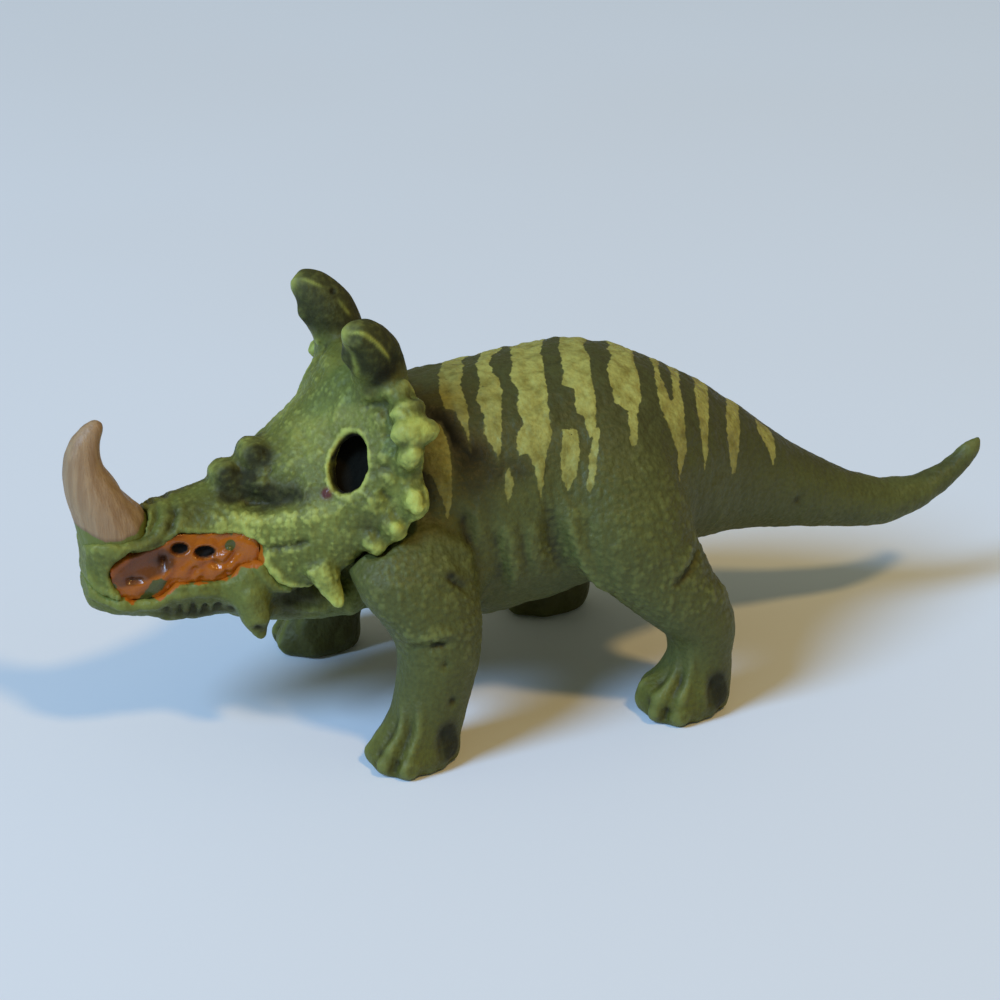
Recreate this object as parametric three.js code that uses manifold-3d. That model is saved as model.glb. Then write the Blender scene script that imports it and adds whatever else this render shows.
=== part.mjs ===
// A small toy dinosaur of soft vinyl, a horned plant eater standing on four feet.
// Millimetres, +z up, soles on z = 0, head toward -x, the animal's left side toward -y.

import * as THREE from 'three';
import { mergeVertices } from 'three/addons/utils/BufferGeometryUtils.js';
import Module from 'manifold-3d';

const wasm = await Module();
wasm.setup();

// Fits between the mouldings
const SEAT_GAP = 0.3;          // between two glued faces
const PEG_END_GAP = 0.4;       // between a peg's end and the floor of its socket
const OVERRUN = 3;             // how far a cutting body runs past what it cuts

// Trunk and neck, one moulding from inside the skull to the tail
const TRUNK_FRONT_X = -27.5;
const TRUNK_LENGTH = 46;
const TRUNK_WIDTH = 27.2;
const BACK_HEIGHT = 35.4;

// Tail, and the face where it is glued to the trunk
const TAIL_LENGTH = 31.1;
const TAIL_ROOT_WIDTH = 13.6;
const TAIL_ROOT_TOP = 28;
const TAIL_ROOT_BOTTOM = 12.6;
const TAIL_PEG_RADIUS = 2.6;
const TAIL_PEG_LENGTH = 6;

// Head: skull, snout, beak and frill in one moulding
const HEAD_FRONT_X = -48.6;
const HEAD_LENGTH = 31;
const HEAD_WIDTH = 26.2;
const CROWN_RISE = 3.2;         // how far the frill's crown stands above the back
const CROWN_HEIGHT = BACK_HEIGHT + CROWN_RISE;
const FRILL_THICKNESS = 2.6;
const FRILL_HOLE_WIDTH = 4.2;
const FRILL_HOLE_HEIGHT = 5.8;
const HOOK_RADIUS = 2.6;
const EDGE_BUMP_LENGTH = 3.8;
const BROW_KNOB_LENGTH = 3.5;
const CHEEK_HORN_RADIUS = 1.7;

// Lower jaw and the piece seen between the jaws
const THROAT_WIDTH = 12.4;
const THROAT_HEIGHT_SHARE = 0.29;  // the throat's underside, of the crown's height
const BARB_RADIUS = 2.1;
const MOUTH_RECESS = 0.7;      // how deep the mouth piece lies under the lips

// Nose horn
const HORN_HEIGHT = 12.4;      // from the snout's side to the tip
const HORN_RADIUS = 3.6;
const HORN_PEG_RADIUS = 1.2;
const HORN_PEG_LENGTH = 3.2;    // below the horn's foot
const HORN_PEG_ROOT = 1.5;      // above it, inside the horn

// Legs: heights are the leg's own, from the sole to the top of the shoulder or hip
const FRONT_LEG_HEIGHT = 24;
const FRONT_FOOT_X = -20.2;
const FRONT_FOOT_LENGTH = 9.2;
const FRONT_FOOT_WIDTH = 7.8;
const HIND_LEG_HEIGHT = 31.5;
const HIND_FOOT_X = 9;
const HIND_FOOT_LENGTH = 10;
const HIND_FOOT_WIDTH = 7.8;
const TRACK_WIDTH = 28.2;      // between the middles of a left and a right sole
const LEG_SEAT_WIDTH = 15;     // between the left and the right leg seats in the trunk
const LEG_PEG_RADIUS = 2.4;
const LEG_PEG_LENGTH = 4;
const RIGHT_FRONT_STEP = 0.6;  // how far the right front sole stands ahead of the left
const RIGHT_HIND_STEP = 3.6;
const TOE_RADIUS = 1.5;

// Fineness of the facets
const TRUNK_SIDES = 32;
const HEAD_SIDES = 28;
const LEG_SIDES = 20;
const TAIL_SIDES = 20;
const HORN_SIDES = 12;
const HORN_STEPS = 8;
const SIDE_HORN_STEPS = 5;
const KNOB_SIDES = 10;
const KNOB_ROWS = 6;
const PEG_SIDES = 18;
const HOLE_SIDES = 18;

const LEFT = -1;
const RIGHT = 1;

// Each row: place along the length, bottom and top as shares of the back's height, half width,
// where the section is widest, and how square it is (2 is an ellipse).
const trunkShares = [
  [0.000, 0.523, 0.805, 0.478, 0.50, 2.0],
  [0.043, 0.503, 0.847, 0.551, 0.50, 2.0],
  [0.098, 0.438, 0.893, 0.632, 0.50, 2.0],
  [0.152, 0.333, 0.927, 0.720, 0.48, 2.0],
  [0.207, 0.288, 0.952, 0.794, 0.46, 2.1],
  [0.293, 0.266, 0.964, 0.882, 0.45, 2.1],
  [0.402, 0.266, 0.975, 0.956, 0.44, 2.1],
  [0.533, 0.291, 0.989, 1.000, 0.44, 2.1],
  [0.663, 0.328, 0.994, 0.985, 0.45, 2.1],
  [0.772, 0.356, 0.960, 0.897, 0.46, 2.1],
  [0.859, 0.364, 0.908, 0.750, 0.48, 2.0],
  [0.935, 0.362, 0.847, 0.610, 0.50, 2.0],
];

// The same for the tail, as shares of its own length and of its root.
const tailShares = [
  [0.105, 0.444, 0.899, 0.809, 0.50, 2.0],
  [0.237, 0.422, 0.776, 0.662, 0.50, 2.0],
  [0.368, 0.397, 0.679, 0.559, 0.50, 2.0],
  [0.500, 0.379, 0.592, 0.456, 0.50, 2.0],
  [0.632, 0.375, 0.531, 0.368, 0.50, 2.0],
  [0.763, 0.397, 0.523, 0.294, 0.50, 2.0],
  [0.862, 0.444, 0.560, 0.228, 0.50, 2.0],
  [0.944, 0.513, 0.606, 0.162, 0.50, 2.0],
  [1.000, 0.585, 0.650, 0.081, 0.50, 2.0],
];

// The same for the head, as shares of its length, of the crown's height and of its half width,
// with the squareness of the upper and of the lower half.
const headShares = [
  [0.000, 0.430, 0.565, 0.090, 0.50, 2.0, 2.0],
  [0.022, 0.399, 0.601, 0.180, 0.50, 2.2, 2.2],
  [0.070, 0.378, 0.622, 0.265, 0.50, 2.4, 2.4],
  [0.150, 0.368, 0.637, 0.325, 0.50, 2.4, 2.4],
  [0.245, 0.358, 0.655, 0.365, 0.48, 2.3, 2.4],
  [0.340, 0.350, 0.671, 0.410, 0.46, 2.2, 2.4],
  [0.437, 0.347, 0.692, 0.455, 0.46, 2.1, 2.4],
  [0.510, 0.360, 0.720, 0.510, 0.44, 2.0, 2.5],
  [0.575, 0.389, 0.762, 0.600, 0.40, 1.8, 2.6],
  [0.650, 0.425, 0.811, 0.710, 0.36, 1.7, 2.8],
  [0.715, 0.451, 0.860, 0.790, 0.34, 1.6, 3.0],
  [0.765, 0.477, 0.905, 0.850, 0.34, 1.5, 3.0],
  [0.812, 0.508, 0.965, 0.895, 0.36, 1.5, 3.0],
  [0.877, 0.544, 1.000, 0.940, 0.38, 1.8, 3.0],
  [0.940, 0.580, 0.982, 0.980, 0.40, 2.3, 3.0],
  [0.978, 0.620, 0.955, 1.000, 0.42, 2.6, 2.8],
];
const FRILL_FIRST_ROW = 10;    // the first head row that the frill's hollow follows

// Places on the head: along its length, out to the side, and up, each as a share as above.
const hookPathShares = [
  [0.930, 0.440, 0.894],
  [0.920, 0.465, 0.969],
  [0.888, 0.510, 1.038],
  [0.842, 0.585, 1.088],
  [0.798, 0.660, 1.112],
];
const hookRadiusShares = [1.0, 1.0, 1.05, 0.85, 0.5];
const edgeBumpShares = [
  [0.942, 0.680, 0.945, 0.90, 0.70],
  [0.955, 0.810, 0.918, 0.90, 0.72],
  [0.953, 0.935, 0.878, 1.35, 0.80],
  [0.938, 0.965, 0.816, 0.75, 0.72],
  [0.942, 0.970, 0.705, 0.85, 1.10],
  [0.880, 0.935, 0.632, 0.80, 0.80],
  [0.825, 0.885, 0.592, 0.75, 0.72],
];
const browKnobShares = [
  [0.468, 0, 0.692, 1.00],
  [0.560, 0, 0.738, 1.05],
];
const BROW_KNOB_THICK_SHARE = 1.1;
const cheekHornPathShares = [
  [0.671, 0.672, 0.531],
  [0.697, 0.731, 0.474],
  [0.726, 0.776, 0.422],
];
const barbPathShares = [
  [0.458, 0.343, 0.492],
  [0.474, 0.440, 0.420],
  [0.505, 0.485, 0.318],
];
const taperShares = [1, 0.75, 0.3];
const frillHoleShares = [0.772, 0.672, 0.785];
const frillHoleFacing = [-0.62, 0.62, 0.48];

// Outlines in the side view of what lies below the lip, and of the mouth opening.
const jawOutlineShares = [
  [-0.10, 0.505], [-0.012, 0.505], [0.020, 0.463], [0.080, 0.441], [0.170, 0.438],
  [0.216, 0.446], [0.245, 0.482], [0.399, 0.478], [0.440, 0.500], [0.462, 0.520],
  [0.510, 0.520], [0.535, 0.490], [0.560, 0.462], [0.640, 0.448], [0.700, 0.430],
  [0.800, 0.400], [1.000, 0.400], [1.000, 0.100], [-0.10, 0.100],
];
const mouthOutlineShares = [
  [0.064, 0.516], [0.108, 0.545], [0.235, 0.576], [0.284, 0.602], [0.372, 0.592],
  [0.470, 0.592], [0.512, 0.575], [0.512, 0.525], [0.460, 0.524], [0.438, 0.504],
  [0.399, 0.482], [0.292, 0.485], [0.243, 0.486], [0.216, 0.450], [0.170, 0.442],
  [0.095, 0.446],
];

// Throat: place along the head's length, bottom and top as shares of its underside's height, and
// width as a share of its own.
const throatShares = [
  [0.437, 1.15, 1.65, 0.80],
  [0.520, 1.09, 1.65, 0.90],
  [0.620, 1.02, 1.65, 0.97],
  [0.740, 1.00, 1.65, 1.00],
  [0.850, 0.98, 1.65, 0.98],
  [0.900, 1.05, 1.50, 0.80],
];

// Legs: height, place along, place to the side, half length and half width. Heights are shares of
// the leg's height, places and half lengths of the foot's length, half widths of its width, and
// the place to the side of half the track.
const frontLegShares = [
  [0.000, 0.00, 1.000, 0.46, 0.46],
  [0.050, 0.01, 1.000, 0.49, 0.48],
  [0.110, 0.02, 1.000, 0.46, 0.46],
  [0.170, 0.09, 1.000, 0.43, 0.45],
  [0.260, 0.18, 0.995, 0.405, 0.43],
  [0.350, 0.25, 0.985, 0.42, 0.44],
  [0.450, 0.30, 0.970, 0.44, 0.47],
  [0.530, 0.31, 0.945, 0.46, 0.50],
  [0.620, 0.255, 0.900, 0.54, 0.56],
  [0.720, 0.165, 0.830, 0.64, 0.62],
  [0.815, 0.110, 0.765, 0.67, 0.64],
  [0.910, 0.100, 0.700, 0.55, 0.55],
  [0.980, 0.100, 0.640, 0.30, 0.38],
  [1.000, 0.100, 0.620, 0.14, 0.20],
];
const hindLegShares = [
  [0.000, -0.01, 1.000, 0.43, 0.46],
  [0.045, -0.01, 1.000, 0.46, 0.48],
  [0.100, -0.02, 1.000, 0.47, 0.48],
  [0.150, 0.09, 1.000, 0.37, 0.44],
  [0.205, 0.135, 1.000, 0.31, 0.42],
  [0.265, 0.145, 0.995, 0.345, 0.44],
  [0.330, 0.035, 0.980, 0.455, 0.48],
  [0.410, -0.17, 0.955, 0.53, 0.53],
  [0.500, -0.375, 0.910, 0.615, 0.59],
  [0.600, -0.53, 0.850, 0.65, 0.64],
  [0.720, -0.615, 0.770, 0.675, 0.64],
  [0.850, -0.685, 0.680, 0.645, 0.55],
  [0.950, -0.69, 0.600, 0.47, 0.36],
  [1.000, -0.72, 0.560, 0.22, 0.18],
];
const toeAngles = [-70, -25, 20, 65].map(THREE.MathUtils.degToRad);
const LEG_SQUARENESS = 2.2;     // 2 is an ellipse
const TOE_REACH_SHARE = 0.38;   // of the foot's length and width, from the sole's middle
const TOE_HEIGHT_SHARE = 0.75;  // of a toe's radius, as is its half width
const TOE_WIDTH_SHARE = 0.85;
const FRONT_PEG_HEIGHT_SHARE = 0.74;
const HIND_PEG_HEIGHT_SHARE = 0.66;
const FRONT_PEG_PLACE_SHARE = 0.13;
const HIND_PEG_PLACE_SHARE = -0.55;

// Nose horn: where its foot and its peg stand on the head, and its centre line ahead of, and above,
// its foot as shares of its height.
const hornFootShares = [0.119, 0, 0.58];
const hornPegShares = [0.148, 0, 0.58];
const hornPathShares = [
  [-0.02, 0.00], [-0.09, 0.23], [-0.19, 0.42], [-0.245, 0.58], [-0.24, 0.74], [-0.19, 0.88],
  [-0.12, 0.97],
];
const hornRadiusShares = [0.98, 0.92, 0.74, 0.58, 0.47, 0.34, 0.18];

const green = { color: 0x4f5a34, roughness: 0.62, metalness: 0 };
const headGreen = { color: 0x7a8c4c, roughness: 0.6, metalness: 0 };
const tan = { color: 0xb39c86, roughness: 0.5, metalness: 0 };
const orange = { color: 0xc0651c, roughness: 0.2, metalness: 0 };

// Closed solids from rings of points, turned so that their faces point out.
function solidOf(geometry) {
  geometry.deleteAttribute('normal');
  geometry.deleteAttribute('uv');
  const merged = mergeVertices(geometry);
  return new wasm.Manifold(new wasm.Mesh({
    numProp: 3,
    vertProperties: new Float32Array(merged.attributes.position.array),
    triVerts: new Uint32Array(merged.index.array),
  }));
}

function signedVolume(corners, triangles) {
  let volume = 0;
  for (let k = 0; k < triangles.length; k += 3) {
    const [a, b, c] = [corners[triangles[k]], corners[triangles[k + 1]], corners[triangles[k + 2]]];
    volume += a.dot(new THREE.Vector3().crossVectors(b, c));
  }
  return volume;
}

function loftSolid(rings) {
  const sides = rings[0].length;
  const corners = rings.flat();
  const triangles = [];
  for (let row = 0; row + 1 < rings.length; row += 1) {
    for (let side = 0; side < sides; side += 1) {
      const here = row * sides + side;
      const beside = row * sides + (side + 1) % sides;
      triangles.push(here, beside, here + sides, beside, beside + sides, here + sides);
    }
  }
  const lastRow = (rings.length - 1) * sides;
  for (let side = 1; side + 1 < sides; side += 1) {
    triangles.push(0, side + 1, side);
    triangles.push(lastRow, lastRow + side, lastRow + side + 1);
  }
  if (signedVolume(corners, triangles) < 0) {
    triangles.reverse();
  }
  const geometry = new THREE.BufferGeometry().setFromPoints(corners);
  geometry.setIndex(triangles);
  return solidOf(geometry);
}

const rounded = (value, power) => Math.sign(value) * Math.abs(value) ** (2 / power);

// One upright cross-section, grown by an allowance on every side.
function uprightRing(x, bottom, top, halfWidth, widest, topPower, bottomPower, sides, grow) {
  const middle = bottom + (top - bottom) * widest;
  const ring = [];
  for (let side = 0; side < sides; side += 1) {
    const angle = (2 * Math.PI * (side + 1 / 2)) / sides;
    const rise = Math.sin(angle);
    const power = rise > 0 ? topPower : bottomPower;
    const reach = rise > 0 ? top - middle + grow : middle - bottom + grow;
    const y = (halfWidth + grow) * rounded(Math.cos(angle), power);
    ring.push(new THREE.Vector3(x, y, middle + reach * rounded(rise, power)));
  }
  return ring;
}

// A tapered round body along a curve, such as a horn.
function taperedSolid(path, radii, sides, steps, across, grow = 0) {
  const curve = new THREE.CatmullRomCurve3(path);
  const rings = [];
  for (let step = 0; step <= steps; step += 1) {
    const t = step / steps;
    const tangent = curve.getTangent(t);
    const sideways = across.clone().addScaledVector(tangent, -across.dot(tangent)).normalize();
    const upward = new THREE.Vector3().crossVectors(tangent, sideways);
    const place = t * (radii.length - 1);
    const before = Math.min(Math.floor(place), radii.length - 2);
    const radius = THREE.MathUtils.lerp(radii[before], radii[before + 1], place - before) + grow;
    const centre = curve.getPoint(t).addScaledVector(tangent, step === steps ? grow : 0);
    const ring = [];
    for (let side = 0; side < sides; side += 1) {
      const angle = (2 * Math.PI * side) / sides;
      ring.push(centre.clone()
        .addScaledVector(sideways, radius * Math.cos(angle))
        .addScaledVector(upward, radius * Math.sin(angle)));
    }
    rings.push(ring);
  }
  return loftSolid(rings);
}

function pegSolid(start, direction, radius, length) {
  const geometry = new THREE.CylinderGeometry(radius, radius, length, PEG_SIDES);
  geometry.translate(0, length / 2, 0);
  const turn = new THREE.Quaternion().setFromUnitVectors(new THREE.Vector3(0, 1, 0), direction);
  geometry.applyQuaternion(turn);
  geometry.translate(start.x, start.y, start.z);
  return solidOf(geometry);
}

function knobSolid(centre, halfLength, halfWidth, halfHeight) {
  const geometry = new THREE.SphereGeometry(halfLength, KNOB_SIDES, KNOB_ROWS);
  geometry.scale(1, halfWidth / halfLength, halfHeight / halfLength);
  geometry.translate(centre.x, centre.y, centre.z);
  return solidOf(geometry);
}

// An outline moved outward by an allowance, corner by corner.
function grownOutline(points, grow) {
  const turnsLeft = THREE.ShapeUtils.area(points) > 0 ? 1 : -1;
  return points.map((point, index) => {
    const before = points[(index + points.length - 1) % points.length];
    const after = points[(index + 1) % points.length];
    const into = point.clone().sub(before).normalize();
    const out = after.clone().sub(point).normalize();
    const normal = new THREE.Vector2(into.y + out.y, -into.x - out.x).normalize();
    const spread = normal.dot(new THREE.Vector2(out.y, -out.x));
    return point.clone().addScaledVector(normal, (turnsLeft * grow) / spread);
  });
}

// A body with the given outline in the side view, right through the head.
function throughSolid(shares, grow) {
  const points = shares.map(([along, up]) => new THREE.Vector2(
    HEAD_FRONT_X + along * HEAD_LENGTH,
    up * CROWN_HEIGHT,
  ));
  const shape = new THREE.Shape(grownOutline(points, grow));
  const depth = HEAD_WIDTH + OVERRUN;
  const geometry = new THREE.ExtrudeGeometry(shape, { depth, bevelEnabled: false });
  geometry.rotateX(Math.PI / 2);
  geometry.translate(0, depth / 2, 0);
  return solidOf(geometry);
}

function headPoint([along, side, up], hand = LEFT) {
  return new THREE.Vector3(
    HEAD_FRONT_X + along * HEAD_LENGTH,
    (hand * side * HEAD_WIDTH) / 2,
    up * CROWN_HEIGHT,
  );
}

function tailRootRing(x, sides, grow) {
  return uprightRing(x, TAIL_ROOT_BOTTOM, TAIL_ROOT_TOP, TAIL_ROOT_WIDTH / 2, 1 / 2, 2, 2, sides, grow);
}

function trunkForm(grow = 0) {
  const rings = trunkShares.map(([along, bottom, top, width, widest, power], row) => uprightRing(
    TRUNK_FRONT_X + along * TRUNK_LENGTH - (row === 0 ? grow : 0),
    bottom * BACK_HEIGHT,
    top * BACK_HEIGHT,
    (width * TRUNK_WIDTH) / 2,
    widest, power, power, TRUNK_SIDES, grow,
  ));
  rings.push(tailRootRing(TRUNK_FRONT_X + TRUNK_LENGTH, TRUNK_SIDES, grow));
  return loftSolid(rings);
}

function tailForm() {
  const rootX = TRUNK_FRONT_X + TRUNK_LENGTH + SEAT_GAP;
  const rings = [tailRootRing(rootX, TAIL_SIDES, 0)];
  tailShares.forEach(([along, bottom, top, width, widest, power]) => {
    rings.push(uprightRing(
      rootX + along * TAIL_LENGTH,
      bottom * TAIL_ROOT_TOP,
      top * TAIL_ROOT_TOP,
      (width * TAIL_ROOT_WIDTH) / 2,
      widest, power, power, TAIL_SIDES, 0,
    ));
  });
  return loftSolid(rings);
}

function tailPeg(clearance, endGap) {
  const rootX = TRUNK_FRONT_X + TRUNK_LENGTH + SEAT_GAP;
  const start = new THREE.Vector3(rootX + SEAT_GAP, 0, (TAIL_ROOT_TOP + TAIL_ROOT_BOTTOM) / 2);
  const length = TAIL_PEG_LENGTH + SEAT_GAP + endGap;
  return pegSolid(start, new THREE.Vector3(-1, 0, 0), TAIL_PEG_RADIUS + clearance, length);
}

function headRings(rows, grow, rearExtra) {
  return rows.map(([along, bottom, top, width, widest, topPower, bottomPower], row) => uprightRing(
    HEAD_FRONT_X + along * HEAD_LENGTH + (row === rows.length - 1 ? rearExtra : 0)
      - (row === 0 ? grow : 0),
    bottom * CROWN_HEIGHT,
    top * CROWN_HEIGHT,
    (width * HEAD_WIDTH) / 2,
    widest, topPower, bottomPower, HEAD_SIDES, grow,
  ));
}

const headForm = (grow = 0) => loftSolid(headRings(headShares, grow, 0));

const frillHollow = () => loftSolid(
  headRings(headShares.slice(FRILL_FIRST_ROW), -FRILL_THICKNESS, OVERRUN),
);

function hook(hand) {
  const path = hookPathShares.map((shares) => headPoint(shares, hand));
  const radii = hookRadiusShares.map((share) => share * HOOK_RADIUS);
  return taperedSolid(path, radii, HORN_SIDES, HORN_STEPS, new THREE.Vector3(1, 0, 0));
}

function sideHorn(pathShares, radius, hand) {
  const path = pathShares.map((shares) => headPoint(shares, hand));
  const radii = taperShares.map((share) => share * radius);
  return taperedSolid(path, radii, KNOB_SIDES, SIDE_HORN_STEPS, new THREE.Vector3(1, 0, 0));
}

function edgeBump(shares, hand, grow = 0) {
  const halfLength = (shares[3] * EDGE_BUMP_LENGTH) / 2 + grow;
  const halfHeight = (shares[4] * EDGE_BUMP_LENGTH) / 2 + grow;
  return knobSolid(headPoint(shares, hand), halfLength, halfHeight, halfHeight);
}

function browKnob(shares) {
  const half = (shares[3] * BROW_KNOB_LENGTH) / 2;
  const thick = half * BROW_KNOB_THICK_SHARE;
  return knobSolid(headPoint(shares), half, thick, thick);
}

function frillHole(hand) {
  const facing = new THREE.Vector3(frillHoleFacing[0], hand * frillHoleFacing[1], frillHoleFacing[2]);
  facing.normalize();
  const depth = FRILL_THICKNESS + 2 * OVERRUN;
  const radius = FRILL_HOLE_WIDTH / 2;
  const geometry = new THREE.CylinderGeometry(radius, radius, depth, HOLE_SIDES);
  geometry.scale(1, 1, FRILL_HOLE_HEIGHT / FRILL_HOLE_WIDTH);
  const upright = new THREE.Vector3(0, 0, 1);
  const across = new THREE.Vector3().crossVectors(facing, upright).normalize();
  const along = new THREE.Vector3().crossVectors(across, facing);
  geometry.applyMatrix4(new THREE.Matrix4().makeBasis(across, facing, along));
  const centre = headPoint(frillHoleShares, hand);
  geometry.translate(centre.x, centre.y, centre.z);
  return solidOf(geometry);
}

function hornForm(grow = 0) {
  const foot = headPoint(hornFootShares);
  const path = hornPathShares.map(([ahead, up]) => new THREE.Vector3(
    foot.x + ahead * HORN_HEIGHT,
    0,
    foot.z + up * HORN_HEIGHT,
  ));
  const radii = hornRadiusShares.map((share) => share * HORN_RADIUS);
  return taperedSolid(path, radii, HORN_SIDES, HORN_STEPS, new THREE.Vector3(0, 1, 0), grow);
}

function hornPeg(clearance, endGap) {
  const down = new THREE.Vector3(0, 0, -1);
  const start = headPoint(hornPegShares).addScaledVector(down, -HORN_PEG_ROOT);
  const length = HORN_PEG_ROOT + HORN_PEG_LENGTH + endGap;
  return pegSolid(start, down, HORN_PEG_RADIUS + clearance, length);
}

// One leg's outer form: rings from the sole up, stepped forward at the foot by the stride.
function legForm(kind, hand, step, grow = 0) {
  const rings = kind.shares.map(([up, along, side, length, width], row) => {
    const last = kind.shares.length - 1;
    const z = up * kind.height + (row === last ? grow : 0) - (row === 0 ? grow : 0);
    const x = kind.footX + along * kind.footLength - step * (1 - up);
    const y = (hand * side * TRACK_WIDTH) / 2;
    const ring = [];
    for (let point = 0; point < LEG_SIDES; point += 1) {
      const angle = (2 * Math.PI * point) / LEG_SIDES;
      ring.push(new THREE.Vector3(
        x + (length * kind.footLength + grow) * rounded(Math.cos(angle), LEG_SQUARENESS),
        y + (width * kind.footWidth + grow) * rounded(Math.sin(angle), LEG_SQUARENESS),
        z,
      ));
    }
    return ring;
  });
  return loftSolid(rings);
}

function beyondSeat(hand, seatWidth) {
  const reach = TRUNK_LENGTH + TAIL_LENGTH + HEAD_LENGTH;
  const geometry = new THREE.BoxGeometry(2 * reach, reach, 2 * reach);
  geometry.translate(0, (hand * (seatWidth + reach)) / 2, 0);
  return solidOf(geometry);
}

function legPeg(kind, hand, clearance, endGap) {
  const start = new THREE.Vector3(
    kind.footX + kind.pegPlace * kind.footLength,
    (hand * LEG_SEAT_WIDTH) / 2 + hand * SEAT_GAP,
    kind.pegHeight * kind.height,
  );
  const length = LEG_PEG_LENGTH + SEAT_GAP + endGap;
  return pegSolid(start, new THREE.Vector3(0, -hand, 0), LEG_PEG_RADIUS + clearance, length);
}

function toes(kind, hand, step) {
  return toeAngles.map((angle) => {
    const centre = new THREE.Vector3(
      kind.footX - step - TOE_REACH_SHARE * kind.footLength * Math.cos(angle),
      hand * (TRACK_WIDTH / 2 + TOE_REACH_SHARE * kind.footWidth * Math.sin(angle)),
      TOE_HEIGHT_SHARE * TOE_RADIUS,
    );
    return knobSolid(centre, TOE_RADIUS, TOE_WIDTH_SHARE * TOE_RADIUS, TOE_RADIUS);
  });
}

function aboveFloor() {
  const reach = TRUNK_LENGTH + TAIL_LENGTH + HEAD_LENGTH;
  const geometry = new THREE.BoxGeometry(2 * reach, 2 * reach, reach);
  geometry.translate(0, 0, reach / 2);
  return solidOf(geometry);
}

const frontLeg = {
  shares: frontLegShares,
  height: FRONT_LEG_HEIGHT,
  footX: FRONT_FOOT_X,
  footLength: FRONT_FOOT_LENGTH,
  footWidth: FRONT_FOOT_WIDTH,
  pegHeight: FRONT_PEG_HEIGHT_SHARE,
  pegPlace: FRONT_PEG_PLACE_SHARE,
};
const hindLeg = {
  shares: hindLegShares,
  height: HIND_LEG_HEIGHT,
  footX: HIND_FOOT_X,
  footLength: HIND_FOOT_LENGTH,
  footWidth: HIND_FOOT_WIDTH,
  pegHeight: HIND_PEG_HEIGHT_SHARE,
  pegPlace: HIND_PEG_PLACE_SHARE,
};
const legs = [
  { name: 'left_front_leg', kind: frontLeg, hand: LEFT, step: 0 },
  { name: 'right_front_leg', kind: frontLeg, hand: RIGHT, step: RIGHT_FRONT_STEP },
  { name: 'left_hind_leg', kind: hindLeg, hand: LEFT, step: 0 },
  { name: 'right_hind_leg', kind: hindLeg, hand: RIGHT, step: RIGHT_HIND_STEP },
];

// The frill's edge lies on the shoulder, which has a shallow seat for it.
function frillSeat(hand) {
  return edgeBumpShares.reduce(
    (solid, shares) => solid.add(edgeBump(shares, hand, SEAT_GAP)),
    headForm(SEAT_GAP),
  );
}

function legSolid({ kind, hand, step }) {
  const outer = legForm(kind, hand, step)
    .intersect(beyondSeat(hand, LEG_SEAT_WIDTH))
    .subtract(frillSeat(hand));
  const withToes = toes(kind, hand, step).reduce((solid, toe) => solid.add(toe), outer);
  return withToes.add(legPeg(kind, hand, 0, 0)).intersect(aboveFloor());
}

function legSocket({ kind, hand, step }) {
  const seat = LEG_SEAT_WIDTH - 2 * SEAT_GAP;
  const recess = legForm(kind, hand, step, SEAT_GAP).intersect(beyondSeat(hand, seat));
  return recess.add(legPeg(kind, hand, SEAT_GAP, PEG_END_GAP));
}

function torsoSolid() {
  const trunk = trunkForm().subtract(tailPeg(SEAT_GAP, PEG_END_GAP));
  return legs.reduce((solid, leg) => solid.subtract(legSocket(leg)), trunk);
}

const tailSolid = () => tailForm().add(tailPeg(0, 0));

function headSolid() {
  let solid = headForm()
    .subtract(frillHollow())
    .subtract(throughSolid(jawOutlineShares, SEAT_GAP));
  for (const hand of [LEFT, RIGHT]) {
    solid = solid.subtract(frillHole(hand));
    solid = solid.add(hook(hand));
    solid = solid.add(sideHorn(cheekHornPathShares, CHEEK_HORN_RADIUS, hand));
    for (const shares of edgeBumpShares) {
      solid = solid.add(edgeBump(shares, hand));
    }
  }
  for (const shares of browKnobShares) {
    solid = solid.add(browKnob(shares));
  }
  return solid
    .subtract(trunkForm(SEAT_GAP))
    .subtract(throughSolid(mouthOutlineShares, SEAT_GAP))
    .subtract(hornForm(SEAT_GAP))
    .subtract(hornPeg(SEAT_GAP, PEG_END_GAP));
}

function throatForm() {
  return loftSolid(throatShares.map(([along, bottom, top, width]) => uprightRing(
    HEAD_FRONT_X + along * HEAD_LENGTH,
    bottom * THROAT_HEIGHT_SHARE * CROWN_HEIGHT,
    top * THROAT_HEIGHT_SHARE * CROWN_HEIGHT,
    (width * THROAT_WIDTH) / 2,
    1 / 2, 2, 2, LEG_SIDES, 0,
  )));
}

function lowerJawSolid() {
  const beak = headForm().add(throatForm()).intersect(throughSolid(jawOutlineShares, 0));
  const barbs = [LEFT, RIGHT].map((hand) => sideHorn(barbPathShares, BARB_RADIUS, hand));
  return beak.add(barbs[0]).add(barbs[1])
    .intersect(throughSolid(jawOutlineShares, 0))
    .subtract(throughSolid(mouthOutlineShares, SEAT_GAP))
    .subtract(trunkForm(SEAT_GAP));
}

// The horn's peg reaches through the snout's floor into the mouth piece, and holds both.
const mouthSolid = () => headForm(-MOUTH_RECESS)
  .intersect(throughSolid(mouthOutlineShares, 0))
  .subtract(hornPeg(SEAT_GAP, PEG_END_GAP));

const noseHornSolid = () => hornForm().add(hornPeg(0, 0));

function meshOf(name, solid, finish) {
  const { vertProperties, triVerts } = solid.getMesh();
  const geometry = new THREE.BufferGeometry();
  geometry.setAttribute('position', new THREE.BufferAttribute(vertProperties, 3));
  geometry.setIndex(new THREE.BufferAttribute(triVerts, 1));
  geometry.computeVertexNormals();
  const mesh = new THREE.Mesh(geometry, new THREE.MeshStandardMaterial(finish));
  mesh.name = name;
  return mesh;
}

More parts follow.
